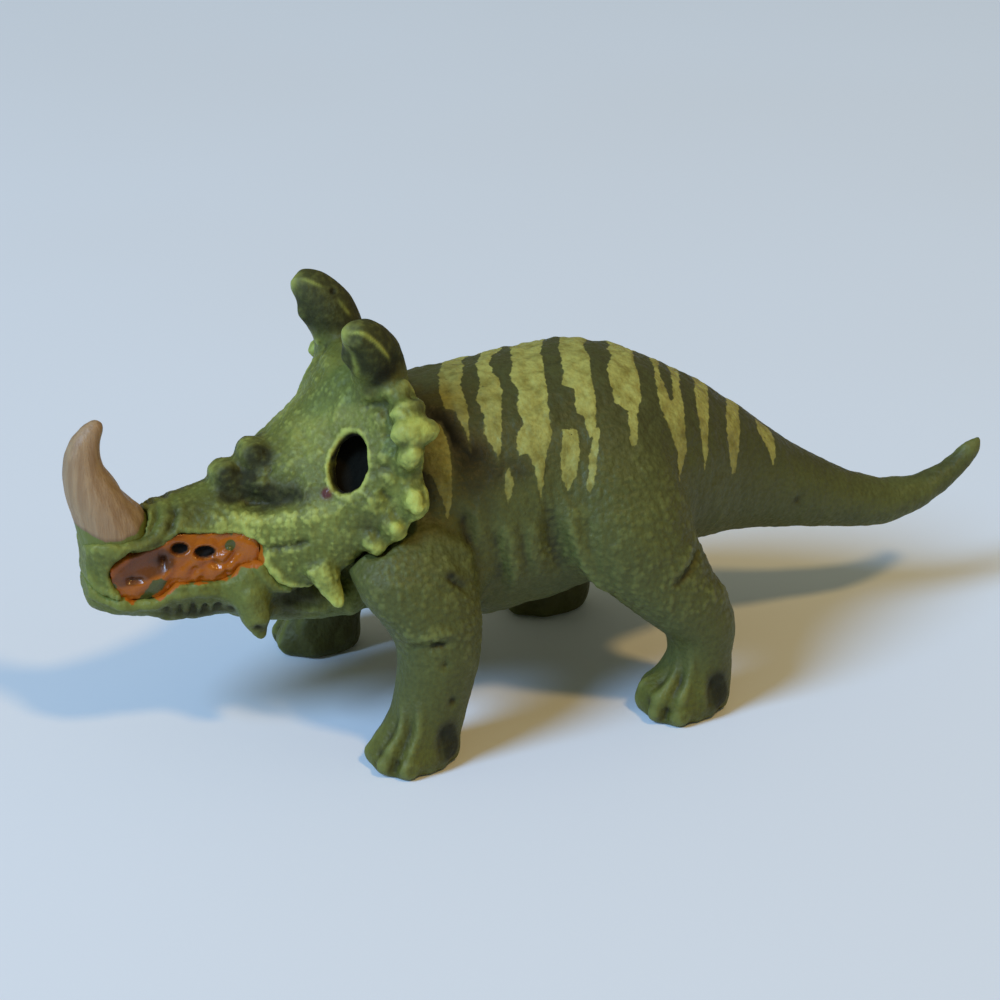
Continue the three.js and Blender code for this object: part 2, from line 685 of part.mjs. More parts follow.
const figure = new THREE.Group();
figure.add(meshOf('torso', torsoSolid(), green));
figure.add(meshOf('head', headSolid(), headGreen));
figure.add(meshOf('lower_jaw', lowerJawSolid(), headGreen));
figure.add(meshOf('mouth_insert', mouthSolid(), orange));
figure.add(meshOf('nose_horn', noseHornSolid(), tan));
for (const leg of legs) {
  figure.add(meshOf(leg.name, legSolid(leg), green));
}
figure.add(meshOf('tail', tailSolid(), green));

export default figure;
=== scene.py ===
"""The looks of a small moulded toy dinosaur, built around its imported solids."""
import itertools
import math

import bmesh
import bpy
import numpy as np
from bpy.props import FloatProperty, FloatVectorProperty, PointerProperty
from mathutils import Euler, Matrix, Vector
from mathutils.bvhtree import BVHTree


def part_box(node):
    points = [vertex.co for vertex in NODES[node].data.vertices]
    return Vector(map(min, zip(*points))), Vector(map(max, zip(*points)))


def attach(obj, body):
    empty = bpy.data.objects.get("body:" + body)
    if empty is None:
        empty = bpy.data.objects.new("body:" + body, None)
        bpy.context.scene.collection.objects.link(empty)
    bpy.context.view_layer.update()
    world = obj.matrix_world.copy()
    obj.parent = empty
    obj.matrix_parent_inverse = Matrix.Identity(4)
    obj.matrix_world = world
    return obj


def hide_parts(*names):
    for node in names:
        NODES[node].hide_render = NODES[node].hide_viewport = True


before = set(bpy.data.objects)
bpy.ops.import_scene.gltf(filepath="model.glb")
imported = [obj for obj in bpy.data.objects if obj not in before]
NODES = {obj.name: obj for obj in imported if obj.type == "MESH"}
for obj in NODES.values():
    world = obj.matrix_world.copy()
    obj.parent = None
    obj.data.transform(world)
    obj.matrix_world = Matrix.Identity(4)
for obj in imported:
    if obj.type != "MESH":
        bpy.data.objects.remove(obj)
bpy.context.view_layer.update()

bl_info = {
    "name": "Toy dinosaur figure",
    "version": (1, 0, 0),
    "blender": (4, 5, 0),
    "location": "3D View > Sidebar > Figure",
    "description": "Builds the skin, horn, mouth and stage of a moulded toy dinosaur",
    "category": "Object",
}

MM = 0.001
BODY = "root"

# Camera, as the figure was seen
CAMERA_AZIMUTH = math.radians(-22)
CAMERA_ELEVATION = math.radians(24)
CAMERA_DISTANCE = 0.290
CAMERA_TARGET = Vector((-0.00365, 0, 0.01724))
CAMERA_LENS = 102.83
CAMERA_SENSOR = 36
CAMERA_SHIFT = (-0.018, 0.020)
CAMERA_CLIP = (0.01, 10)

# Lights, in metres
WINDOW_PLACE = (-1.56, -0.50, 1.41)
WINDOW_SIZE = 0.84
LAMP_PLACE = (0.24, -0.86, 1.31)
LAMP_SIZE = 0.19

# The pieces that share one unbroken skin
SKIN_NODES = (
    "torso", "left_front_leg", "right_front_leg", "left_hind_leg", "right_hind_leg", "tail",
    "lower_jaw",
)

# How far the right feet stand ahead of the left ones, in millimetres, fading out up the legs
FRONT_STRIDE = 0.6
HIND_STRIDE = 3.4
STRIDE_LOW = 3
STRIDE_HIGH = 22
STRIDE_MIDDLE = -8
STRIDE_FRONT = -28

# Painted shade where no light reaches, behind and inside the frill and in the mouth's pits, and
# the paint of the small eye
DEEP_SHADE = (0.004, 0.004, 0.002)
MOUTH_PIT_SHADE = (0.004, 0.004, 0.004)
EYE_WINE = (0.10, 0.030, 0.038)

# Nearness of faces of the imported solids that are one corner, and how far a cut skin's rim is
# turned in, in metres
WELD = 1e-6
RIM_DEPTH = 0.5 * MM

# Making of the blanks: swelling that joins the skin's solids, rounds of rounding off, and the
# fineness of the small pieces
SKIN_SWELL = 0.28 * MM
SKIN_ROUNDS = 14
HEAD_ROUNDS = 4
HORN_ROUNDS = 10
MOUTH_ROUNDS = 6
SMALL_VOXEL = 0.3 * MM

# Below, all lengths are millimetres. A pair with no words of its own is a range: where a thing
# starts and where it is full, along x, upward or out from the middle. A noise of the relief is
# the distance between its features and its seed.

# Noise: the steps that mix up a cell's three numbers, its seed and its channel, and the small
# billows beside the large ones, with what is taken off so that they lie about 0
HASH_STEPS = np.array((73856093, 19349663, 83492791))
SEED_STEP = 977
CHANNEL_STEP = 331
SMALL_BILLOWS = 0.4
SMALL_BILLOWS_SEED = 50
BILLOWS_MIDDLE = 0.45

# Pebbles as shares of their pitch: smallest radius, what is added to it, and the part of a
# pebble's cell in which its middle may lie
PEBBLE_LEAST = 0.36
PEBBLE_MORE = 0.34
PEBBLE_LOOSE = 0.7

# Strokes: reach in half widths, and fading at both ends by shares of the length. Rings: how far
# behind the middle they fade. Hollows: name, rounds of smoothing, and the depth that counts 1.
STROKE_REACH = 3
STROKE_TAPER = (-0.06, 0.30)
RING_FRONT = (-1.4, -0.2)
HOLLOWS = (("fine_hollow", 5, 0.05), ("deep_hollow", 60, 0.35))
HOLLOW_MOST = 2

# Smoothing of the skin near the solids' seams, by the distance to the second nearest solid, and
# of the lines along which the skin is cut
SEAM_REACH = (2.6, 0.6)
SEAM_ROUNDS = 50
SEAM_WEIGHT = 0.5
LABEL_ROUNDS = 12

# Gaps between neighbours that are closed: solid beside the piece, reach, height. Each is closed
# in full within a share of its reach, and the lower jaw's only ahead of the jaw's end.
JAW_GAPS = (("head", 1.3, 0.28), ("mouth_insert", 1.0, 0.15))
HEAD_GAPS = (("lower_jaw", 1.3, 0.28), ("mouth_insert", 1.0, 0.15), ("nose_horn", 0.9, 0.12))
GAP_FULL = 0.6
JAW_END = -30

# Folds, swellings and wrinkles of the skin. The folds run upright and fade toward the tail, all
# are lower on the legs, and none is on the soles.
FOLDS_DRAWN = (1.0, 1.0, 0.5)
FOLD_NOISE = (1.9, 3)
TAIL_FOLDS = 0.06
TRUNK_FOLDS = 0.19
TRUNK_END = (14, 24)
SWELLING_NOISE = (4.2, 4)
SWELLING_HEIGHT = 0.08
WRINKLES_DRAWN = (1.0, 1.0, 0.6)
WRINKLE_NOISE = (0.8, 5)
WRINKLE_HEIGHT = 0.05
LEG_SIDE = (11.5, 13.5)
LEG_CALM = 0.6
SOLE = (0.2, 1.5)

# Thick lumpy paint of the stripes on the shoulders and the back, by the depth inside a stripe
THICK_PAINT = (0.0, 0.5)
LUMPY_PAINT = 0.04
LUMPY_HEIGHT = 0.11
LUMPY_NOISE = (1.0, 41)
LUMPY_END = (8, 14)

# Pebbles: shares of their height on the trunk, low on the legs and on the face, their seeds, and
# the pitch of the head's as a share of the skin's
TRUNK_PEBBLES = 0.25
LOW_PEBBLES = 0.15
UPPER_LEG = (9, 14)
FACE_PEBBLES = 0.55
SKIN_PEBBLE_SEED = 6
HEAD_PEBBLE_SEED = 9
HEAD_PEBBLE_SHARE = 0.85

# Relief of the head: the softened frill edge, lime bumps, folds and wrinkles, none on the hooks
FRILL_EDGE_WIDTH = 1.5
FRILL_ROUNDS = 24
FRILL_WEIGHT = 0.6
LIME_HEIGHT = 0.18
LIME_NOISE = (1.2, 17)
CHEEK_WIDTH = 2.2
FACE_FOLDS = 0.17
FACE_FOLD_NOISE = (1.9, 7)
FACE_WRINKLES = 0.06
FACE_WRINKLE_NOISE = (0.7, 8)
HOOK_CALM = (36, 39)

# Lengthwise ridges of the horn
HORN_RIDGES_DRAWN = (1.0, 1.0, 0.12)
HORN_RIDGE_NOISE = (0.8, 21)
HORN_RIDGE_HEIGHT = 0.06

# Relief of the mouth piece: filling all over and where it faces away from the sides, pits and
# their rims by shares of the pits' radii, swellings, and the uneven part that glistens
MOUTH_FILL = 0.16
MOUTH_WALL = 0.30
WALL_TURN = (0.5, 0.9)
MOUTH_PIT_DEPTH = 0.7
PIT_EDGE = (0.85, 1.05)
MOUTH_RIM = 0.06
RIM_MIDDLE = 1.3
RIM_WIDTH = 0.2
MOUTH_SWELLING = 0.12
MOUTH_SWELLING_NOISE = (1.3, 31)
WET_NOISE = (0.6, 33)

# Paint of the mouth piece: the orange spreads in its upper part, and the leaf shape in the beak is
# brown red, partly painted shade
ORANGE_SPREAD = 0.7
ORANGE_SPREAD_RANGE = (19.3, 20.2)
LEAF_EDGE = (-0.25, 0.20)
LEAF_BROWN_AND_SHADE = 0.9

# The most of each paint, and of each painted shade, that is laid on anywhere, where 1 covers all,
# and the least and most of the rubbed light paint
SKIN_STAIN_AND_SHADE_MOST = 0.9
HEAD_STAIN_AND_SHADE_MOST = 0.95
SPECK_MOST = 0.95
BROWN_AND_SHADE_MOST = 0.95
PARTING_MOST = 0.8
RUB_LEAST = 0.1
RUB_MOST = 2

# Where the skin's paints lie. The back's and the stripe feet's ranges are arcs down from the
# spine, the stripes' edges are depths inside a stripe, the rub of the thigh's fold is its width
# and strength, and the inner turn is how far a face leans to the middle.
BACK_ARC = (19.5, 7.5)
NECK_FADE = (-30, -18)
TAIL_START = (14, 30)
TAIL_PALER = 0.25
FRONT_STRIPES = (-6, -11)
FRONT_DULL = 0.22
STRIPE_FEET = (9, 13)
LOW_DULL = 0.18
STRIPES_KEPT = 0.75
# How far inside a stripe the dark paint with its painted shade, and the nearly black painted shade,
# give way
STAINED_AND_SHADED_EDGE = (-0.2, 0.3)
BLACKENED_EDGE = (-0.2, 0.1)
LEG_RUB = (25, 14)
THIGH_RUB = (0.8, 2.2)
TRUNK_RUB = 0.35
JAW_START = (-27, -31)
JAW_LESS_RUB = 0.7
TOE_RANGE = (2.0, 7.0)
# Painted shade low on the legs' inner sides, under the body: its height range, its strength, and
# how far a face leans to the middle
INNER_LEG_RANGE = (7, 12)
INNER_LEG_SHADE = 0.6
INNER_TURN = (0.2, 0.8)
# Painted shade on the neck behind the frill: along x, and upward
BEHIND_FRILL = (-14.5, -18.0)
BEHIND_FRILL_HEIGHT = (23.0, 27.0)

# Where the head's paints lie
FRILL_RUB = 1.25
SNOUT_LESS_RUB = 0.95
SNOUT_START = (-33, -42)
HOOK_START = (37.0, 39.5)
HOOK_DARK = 0.90
HOOK_TIP_LESS = 0.65

# Strength of the wash and painted shade in the hollows, and of the rubbed light paint
SKIN_WEAR_AND_SHADE = (0.85, 0.55)
JAW_WEAR_AND_SHADE = (0.8, 0.5)
HEAD_WEAR_AND_SHADE = (0.75, 0.6)

# Patches in the paints: features for each millimetre, detail, and the noise's low and high
# values with what they become, 0 and 1 where nothing else is given
GREEN_PATCHES = (0.22, 4.0, 0.35, 0.65)
BACK_PATCHES = (0.35, 4.0, 0.2, 0.6, 0.65, 1.0)
STRIPE_PATCHES = (0.6, 5.0, 0.42, 0.7)
STRIPE_HOLES = (1.9, 3.0, 0.72, 0.75, 1.0, 0.0)
# Breaks in the dark paint and its painted shade
STAIN_AND_SHADE_BREAKS = (1.4, 4.0, 0.25, 0.6, 0.82, 1.0)
SKIN_DOTS = (0.5, 3.0, 0.4, 0.62, 0.05, 0.30)
HEAD_DOTS = (0.5, 3.0, 0.4, 0.62, 0.15, 0.60)
FLOOR_PATCHES = (0.006, 2.0, 0.35, 0.65)

# Plain noises: features for each millimetre, and detail
HORN_STREAKS = (1.1, 5.0)
HORN_HAIRS = (3.2, 4.0)
MOUTH_MOTTLE = (0.9, 5.0)
MOUTH_RIPPLES = (1.6, 4.0)

# Ragged edges: features for each millimetre, detail, unevenness, and the depth range of the
# paint's edge
STRIPE_EDGE = (1.5, 5.0, 0.7)
STRIPE_COVER = (0.12, 0.26)
ORANGE_EDGE = (1.3, 4.0, 0.5)
ORANGE_COVER = (-0.05, 0.05)
FOOT_EDGE = (1.1, 4.0, 0.6)

# Wear and painted shade shared by the green paints: its noises, the parts of the fine and deep
# hollows and of the noise in it, ranges of the wash with its painted shade and of the rub, toning
# by the specks, and roughness
WEAR_AND_SHADE_BLOTCHES = (0.45, 4.0)
WORN_SPECKS = (2.2, 3.0)
FINE_PART = 0.30
DEEP_PART = 0.70
BLOTCH_PART = 0.8
WASH_AND_SHADE_RANGE = (0.10, 1.5)
RUB_RANGE = (0.15, 1.5)
SPECK_TONE = (0.35, 0.70, 0.0, 0.40)
WORN_ROUGHNESS = (0.2, 0.8, 0.44, 0.60)

# Grain shared by the green paints: domes, pores and drawn folds, and their parts in its height
GRAIN_PORES = (7.0, 4.0)
GRAIN_DRAWN = (1.6, 1.6, 0.35)
GRAIN_FOLDS = (1.3, 5.0)
GRAIN_DOME_PART = 0.7
GRAIN_PORE_PART = 0.3
GRAIN_FOLD_PART = 0.6

# Looks of the horn and the mouth piece: values of a noise or a depth with what they become, and
# shares
HORN_PALE_STREAKS = (0.3, 0.75, 0.0, 0.7)
HORN_BROWN_HAIRS = (0.55, 0.8, 0.0, 0.35)
# Share of brown painted shade in the horn's deep hollows
HORN_HOLLOW_SHADE = 0.5
HORN_FOOT_BROWN = (-0.5, 0.0, 0.0, 0.5)
HORN_FOOT_GREEN = (-0.1, 0.1)
HORN_ROUGHNESS = (0.3, 0.7, 0.42, 0.58)
MOUTH_BROWN_PATCHES = (0.45, 0.8, 0.0, 0.35)
MOUTH_ROUGHNESS = (0.3, 0.7, 0.18, 0.36)
BARE_GREEN = 0.35

# Finishes
TOE_SHARE = 0.7
DOT_TOPS = (0.1, 1.0)
# Dark paint and painted shade: where it turns darkest, and how matt it is
STAIN_AND_SHADE_THICK = (0.55, 0.95)
STAIN_AND_SHADE_ROUGHNESS = 0.8
EYE_GLOSS = 0.4
GREEN_SPECULAR = 0.25
GRAIN_PITCH = 0.42
GRAIN_HEIGHT = 0.12 * MM
HORN_DRAWN = (1.5, 1.5, 0.16)
HORN_SPECULAR = 0.4
HORN_GRAIN_HEIGHT = 0.06 * MM
MOUTH_SPECULAR = 0.35
MOUTH_COAT = 0.25
MOUTH_COAT_ROUGHNESS = 0.12
MOUTH_RIPPLE_HEIGHT = 0.10 * MM
FLOOR_ROUGHNESS = 0.8
FLOOR_SPECULAR = 0.2
FLOOR_GREY = (0.62, 0.60, 0.56)
FLOOR_GREY_SHARE = 0.1
FLOOR_SIZE = 4


def tone(code):
    """A colour written as six hexadecimal digits, as linear light."""
    parts = [int(code[k:k + 2], 16) / 255 for k in (0, 2, 4)]
    return tuple(p / 12.92 if p <= 0.04045 else ((p + 0.055) / 1.055) ** 2.4 for p in parts)


def length(label, about, size, least, most):
    return FloatProperty(
        name=label, description=about, default=size * MM, min=least * MM, max=most * MM,
        subtype="DISTANCE", unit="LENGTH")


def colour(label, about, code):
    return FloatVectorProperty(
        name=label, description=about, default=tone(code), subtype="COLOR", size=3, min=0, max=1)


class FigureSettings(bpy.types.PropertyGroup):
    """Sizes and colours of the figure."""
    skin_voxel: length(
        "Skin voxel", "Fineness of the skin before it is divided once", 0.42, 0.3, 2)
    head_voxel: length(
        "Head voxel", "Fineness of the head before it is divided once", 0.42, 0.3, 2)
    pebble_pitch: length("Pebble pitch", "Distance between the skin's pebbles", 0.72, 0.4, 3)
    pebble_height: length(
        "Pebble height", "How far the skin's pebbles stand out", 0.09, 0, 0.5)
    window_power: FloatProperty(
        name="Window light", description="Power of the cool light from the head's side",
        default=47, min=0, unit="POWER")
    lamp_power: FloatProperty(
        name="Lamp light", description="Power of the warm light from above",
        default=8.2, min=0, unit="POWER")
    room_light: FloatProperty(
        name="Room light", description="Strength of the light from all round",
        default=1.15, min=0)
    window_tint: colour("Window tint", "Cool light", "B3D7FF")
    lamp_tint: colour("Lamp tint", "Warm light", "FFCE7C")
    room_tint: colour("Room tint", "Light from all round", "807E6C")
    skin_green: colour("Flank green", "The body's own green", "4E5329")
    skin_back: colour("Back green", "Dark green sprayed along the back", "424524")
    skin_light: colour("Skin highlight", "Paint rubbed on the skin's high places", "777F44")
    # Dark wash and painted shade in the skin's hollows
    skin_wash_and_shade: colour("Skin wash", "Dark paint left in the skin's hollows", "1D1E12")
    leg_green: colour("Leg green", "Green of the legs", "53582A")
    toe_green: colour("Toe green", "Yellower green of the toes", "5A5D1E")
    stripe_yellow: colour("Stripe yellow", "Sprayed stripes", "A0A156")
    stripe_brown: colour("Stripe shade", "Darker patches on the stripes", "83803C")
    head_green: colour("Head green", "The head's own green", "636C2E")
    head_light: colour("Head highlight", "Paint rubbed on the head's high places", "B0BA5E")
    # Dark wash and painted shade in the head's hollows, also the darkest dark paint and painted
    # shade
    head_wash_and_shade: colour("Head wash", "Dark paint left in the head's hollows", "1F200B")
    bump_lime: colour("Bump lime", "Lime green on the frill's edge bumps", "A6AF50")
    knob_brown: colour("Knob brown", "Brown green on the brow knobs and hooks", "302E17")
    horn_tan: colour("Horn tan", "The nose horn's colour", "8D7254")
    horn_pale: colour("Horn pale", "Paler streaks on the nose horn", "A98F6D")
    horn_brown: colour("Horn brown", "Brown streaks on the nose horn", "5C4634")
    mouth_orange: colour("Mouth orange", "The mouth piece's colour", "9E560A")
    # Brown red inside the beak, partly painted shade, and the mouth piece's darker patches
    mouth_brown_and_shade: colour("Mouth brown", "Brown red inside the beak", "5C3317")
    floor_tint: colour("Floor", "The pale floor", "DCE6F2")


# Marks of one foot, from the middle of its sole: tendons and toes raised, grooves sunk. Each
# stroke is its points, half width, and height above the skin; each lump is its place, radius
# and height; each spot of painted shade in the toes' grooves and the heel's hollow is its
# place, radius and strength.
FOOT_STROKES = [
    ([(-1.6, -0.9, 8.0), (-2.1, -2.0, 4.6), (-3.1, -2.1, 3.0), (-3.9, -2.1, 2.0)], 0.6, 0.28),
    ([(-0.3, -2.6, 8.0), (-0.8, -3.1, 4.6), (-1.4, -3.3, 3.2), (-2.0, -3.6, 2.0)], 0.6, 0.3),
    ([(-2.8, 0.1, 6.4), (-3.5, 0.7, 3.8), (-4.3, 1.1, 2.0)], 0.6, 0.25),
    ([(-2.0, -1.0, 6.4), (-2.3, -1.1, 5.2), (-3.2, -1.1, 3.4), (-4.0, -1.0, 2.1)], 0.5, -0.3),
    ([(-3.6, -1.0, 2.7), (-4.0, -1.0, 2.1), (-4.7, -1.0, 0.4)], 0.45, -0.45),
    ([(-1.2, -2.3, 6.6), (-1.5, -2.6, 4.6), (-2.3, -2.9, 2.9), (-3.0, -2.8, 1.5)], 0.55, -0.32),
    ([(-2.6, -2.9, 2.2), (-3.0, -2.8, 1.5), (-3.3, -2.7, 0.3)], 0.45, -0.5),
    ([(1.8, -3.3, 5.2), (1.4, -3.6, 3.3), (1.7, -3.7, 1.2)], 0.4, -0.35),
    ([(-3.6, 3.0, 4.6), (-4.5, 2.6, 2.6), (-4.8, 2.5, 0.4)], 0.45, -0.4),
]
FOOT_LUMPS = [
    ((-4.5, 1.1, 1.5), 1.15, 0.35), ((-4.0, -2.2, 1.4), 1.0, 0.45),
    ((-2.0, -3.6, 1.3), 1.2, 0.4), ((2.5, -3.2, 3.4), 1.2, -0.35),
    ((-3.2, -2.0, 2.9), 0.7, 0.25), ((-1.7, -3.3, 3.1), 0.7, 0.25),
    ((-3.6, -1.1, 0.2), 0.6, -0.4), ((-0.6, -3.9, 0.2), 0.8, -0.3),
    ((3.4, -2.9, 0.3), 1.3, -0.6), ((1.4, -3.8, 0.2), 0.8, -0.35),
]
FOOT_GROOVE_SHADE = [
    ((2.3, -3.2, 4.6), 1.0, 1.0), ((2.7, -3.1, 3.2), 1.3, 1.1), ((3.0, -2.9, 1.8), 1.2, 1.0),
    ((1.6, -3.7, 1.2), 0.9, 0.35), ((-3.3, -2.9, 0.6), 0.6, 0.65), ((-4.4, -1.0, 0.8), 0.5, 0.6),
    ((-3.8, -1.0, 2.3), 0.6, 0.6), ((-2.8, -2.8, 1.9), 0.6, 0.65), ((-2.0, -2.8, 3.5), 0.5, 0.5),
    ((-2.9, -1.1, 3.9), 0.5, 0.45), ((-1.5, -2.6, 4.7), 0.5, 0.35),
]
# Middles of the left soles
FEET = ((-20.2, -14.1, 0), (8.5, -14.0, 0))

# The fold along the front of the thigh
THIGH_RIDGE = [(-3.9, -13.1, 25.3), (-3.4, -13.5, 21.9), (-2.6, -13.7, 19.7), (-1.8, -14.1, 17.8),
               (-0.9, -14.4, 16.3), (0.6, -15.1, 14.9)]

# Strokes on the shared skin, on the animal's left side (-y) and mirrored to its right
SKIN_STROKES = [
    # elbow
    ([(-21.3, -15.6, 14.1), (-19.9, -16.7, 14.6), (-18.0, -17.1, 14.7), (-15.8, -16.8, 14.5)],
     0.6, 0.28),
    ([(-21.5, -15.0, 13.4), (-20.5, -16.2, 13.4), (-19.3, -16.9, 13.6), (-18.5, -17.1, 13.7),
      (-17.0, -17.0, 13.5)], 0.45, -0.24),
    ([(-19.4, -16.9, 13.55), (-18.5, -17.1, 13.7), (-17.7, -17.2, 13.6)], 0.36, -0.22),
    # shoulder blade
    ([(-19.4, -11.8, 23.6), (-17.0, -11.9, 23.0), (-15.7, -12.6, 22.0), (-14.5, -12.8, 20.9),
      (-14.2, -13.7, 19.7), (-14.4, -14.6, 18.5)], 0.9, 0.4),
    ([(-17.3, -15.4, 20.2), (-16.5, -15.6, 19.6), (-15.6, -15.6, 18.8), (-14.6, -15.4, 17.9)],
     0.45, -0.6),
    ([(-18.9, -14.9, 20.8), (-17.0, -15.2, 20.3), (-15.4, -15.0, 19.3)], 0.7, 0.25),
    # folds behind the shoulder
    ([(-14.3, -11.3, 25.2), (-14.0, -11.6, 23.8), (-13.7, -12.0, 21.8), (-12.7, -10.6, 19.3)],
     0.65, -0.35),
    ([(-13.0, -11.7, 25.4), (-12.7, -12.2, 23.4), (-12.3, -12.4, 20.8)], 0.7, 0.3),
    ([(-13.3, -8.1, 30.9), (-11.8, -10.0, 29.0)], 0.35, 0.2),
    # flank
    ([(-10.0, -12.5, 24.5), (-9.5, -12.9, 20.3), (-8.3, -12.0, 15.0)], 0.9, 0.28),
    ([(-11.3, -12.3, 24.0), (-10.8, -12.6, 20.0), (-9.6, -11.6, 15.0)], 0.7, -0.25),
    ([(-7.6, -12.8, 23.7), (-7.2, -13.1, 20.1), (-6.3, -12.2, 16.3)], 0.9, 0.25),
    ([(-8.6, -12.7, 23.9), (-8.3, -13.0, 20.0), (-7.3, -12.2, 15.9)], 0.6, -0.22),
    ([(-5.7, -13.0, 25.4), (-5.4, -13.2, 20.9), (-4.4, -12.9, 17.0), (-3.4, -12.8, 15.0)],
     0.9, -0.45),
    # thigh
    (THIGH_RIDGE, 1.0, 0.75),
    ([(-2.0, -13.9, 24.0), (-1.5, -14.2, 21.6), (-0.7, -14.6, 19.4), (0.5, -15.0, 17.6)],
     0.9, -0.15),
    ([(9.4, -15.0, 18.6), (7.9, -16.6, 17.1), (6.7, -17.2, 16.2), (5.4, -17.4, 15.4)],
     0.5, -0.4),
    ([(8.6, -15.6, 19.3), (7.2, -16.8, 17.9), (6.0, -17.3, 17.0)], 0.7, 0.25),
    ([(9.5, -16.8, 14.8), (10.9, -16.2, 13.0), (11.2, -16.0, 11.6)], 1.1, 0.3),
    # barb
    ([(-34.0, -6.4, 18.4), (-33.3, -6.8, 15.8), (-32.9, -7.0, 13.2)], 1.7, 0.62),
    ([(-32.4, -6.2, 19.6), (-31.4, -6.0, 18.4), (-30.9, -5.8, 16.6)], 0.6, -0.45),
    # rim of the lower jaw
    ([(-47.7, -2.4, 18.2), (-46.8, -2.9, 17.1), (-44.7, -3.4, 16.3), (-42.7, -4.0, 16.4),
      (-41.0, -4.6, 17.4), (-38.6, -5.2, 17.6), (-36.4, -5.5, 17.2), (-35.1, -6.4, 15.9)],
     0.55, 0.35),
    # throat, upright folds under the jaw
    ([(-41.6, -4.0, 16.2), (-41.4, -3.0, 14.4)], 0.34, -0.55),
    ([(-40.4, -4.3, 16.6), (-40.2, -3.3, 14.2)], 0.34, -0.65),
    ([(-39.2, -4.5, 16.6), (-39.0, -3.5, 13.8)], 0.34, -0.65),
    ([(-38.0, -4.7, 16.4), (-37.8, -3.7, 13.4)], 0.34, -0.65),
    ([(-36.8, -4.9, 16.2), (-36.6, -3.8, 13.0)], 0.34, -0.65),
    ([(-35.6, -5.0, 15.6), (-35.4, -4.0, 12.8)], 0.34, -0.55),
    ([(-31.0, -6.2, 16.4), (-29.0, -6.3, 15.2), (-26.4, -6.2, 14.4)], 0.5, -0.35),
    ([(-31.2, -5.9, 14.4), (-28.8, -5.9, 13.2), (-26.4, -5.8, 12.8)], 0.5, -0.3),
]

# Round lumps and pits on the shared skin
SKIN_LUMPS = [
    ((-17.3, -17.2, 7.5), 0.42, -0.45), ((-18.1, -17.2, 11.5), 0.4, -0.35),
    ((3.0, -14.6, 20.5), 4.5, 0.45), ((25.8, -4.5, 16.4), 0.45, -0.25),
    ((48.6, 0.0, 17.6), 1.6, 0.25), ((48.0, 0.0, 18.2), 1.3, 1.1), ((37.5, 0.0, 11.0), 4.0, 0.45),
    ((12.6, -15.2, 13.2), 1.3, 0.45), ((-33.6, -7.1, 14.0), 0.32, -0.3),
    ((-33.0, -6.6, 18.6), 1.2, 0.25), ((-38.6, -3.2, 13.7), 1.7, 0.5),
    ((-41.2, -2.8, 14.4), 1.4, 0.4),
]

# Painted shade, nearly black: on the neck beside the frill, in the heels, and in the creases of
# shoulder and elbow
SKIN_DEEP_SHADE = [
    ((-14.0, -6.9, 31.8), 1.2, 0.75), ((-13.8, -8.2, 30.7), 1.3, 0.75),
    ((-14.6, -5.6, 32.6), 1.0, 0.6), ((-13.0, -9.8, 28.8), 1.5, 0.6),
    ((-11.2, -9.6, 29.8), 1.1, 0.45), ((-9.9, -10.8, 28.2), 1.1, 0.3),
    ((-16.6, -15.4, 19.9), 0.5, 0.6), ((-15.7, -15.5, 19.0), 0.5, 0.5),
    ((-18.4, -17.1, 13.7), 0.5, 0.5),
]
# Painted shade, nearly black, in the hollow at the back of each foot
FOOT_DEEP_SHADE = [
    ((2.3, -3.2, 4.6), 0.9, 0.45), ((2.7, -3.1, 3.2), 0.7, 0.2), ((3.0, -2.9, 1.8), 1.0, 0.4),
]

# Dark wash brushed on, most of it painted shade: under the jaw, behind the barb, on the neck
# beside the frill and into the creases; on the tail it is darker paint
SKIN_STAINS_AND_SHADE = [
    ((-14.0, -6.6, 32.5), 1.3, 1.0), ((-13.4, -8.6, 30.9), 1.3, 0.8),
    ((-15.4, -5.0, 33.2), 1.2, 0.8), ((-12.0, -9.6, 29.6), 1.3, 0.8),
    ((-10.4, -10.6, 27.6), 1.4, 0.7), ((-8.0, -11.3, 27.9), 1.3, 0.7),
    ((-12.7, -10.8, 26.8), 1.6, 0.7), ((-11.6, -11.8, 24.6), 1.5, 0.4),
    ((-41.3, -3.8, 15.2), 1.1, 0.6), ((-39.6, -3.9, 15.0), 1.1, 0.7),
    ((-38.0, -4.0, 14.6), 1.2, 0.7), ((-36.2, -4.3, 14.4), 1.2, 0.7),
    ((-30.3, -5.8, 15.6), 1.3, 0.75), ((-28.7, -5.5, 16.2), 1.4, 0.8),
    ((-29.8, -5.5, 13.9), 1.0, 0.5), ((-27.2, -6.0, 15.4), 1.2, 0.6),
    ((-33.0, -7.2, 13.6), 0.5, 0.6), ((-33.6, -6.7, 16.0), 1.3, 0.2),
    ((-18.5, -17.1, 13.65), 0.5, 0.45), ((-17.3, -17.2, 7.5), 0.5, 0.5),
    ((-16.6, -15.4, 19.9), 0.6, 1.0), ((-15.6, -15.5, 18.9), 0.6, 1.0),
    ((-13.9, -11.7, 22.6), 1.4, 0.15), ((-33.6, -7.3, 14.0), 0.45, 1.0),
    ((31.0, -3.0, 20.5), 3.0, 0.25), ((36.0, -2.0, 18.0), 2.5, 0.3),
    ((25.8, -4.5, 16.4), 0.7, 0.4), ((11.4, -15.0, 16.6), 1.6, 0.3),
    ((6.8, -17.1, 16.2), 0.9, 0.35),
]

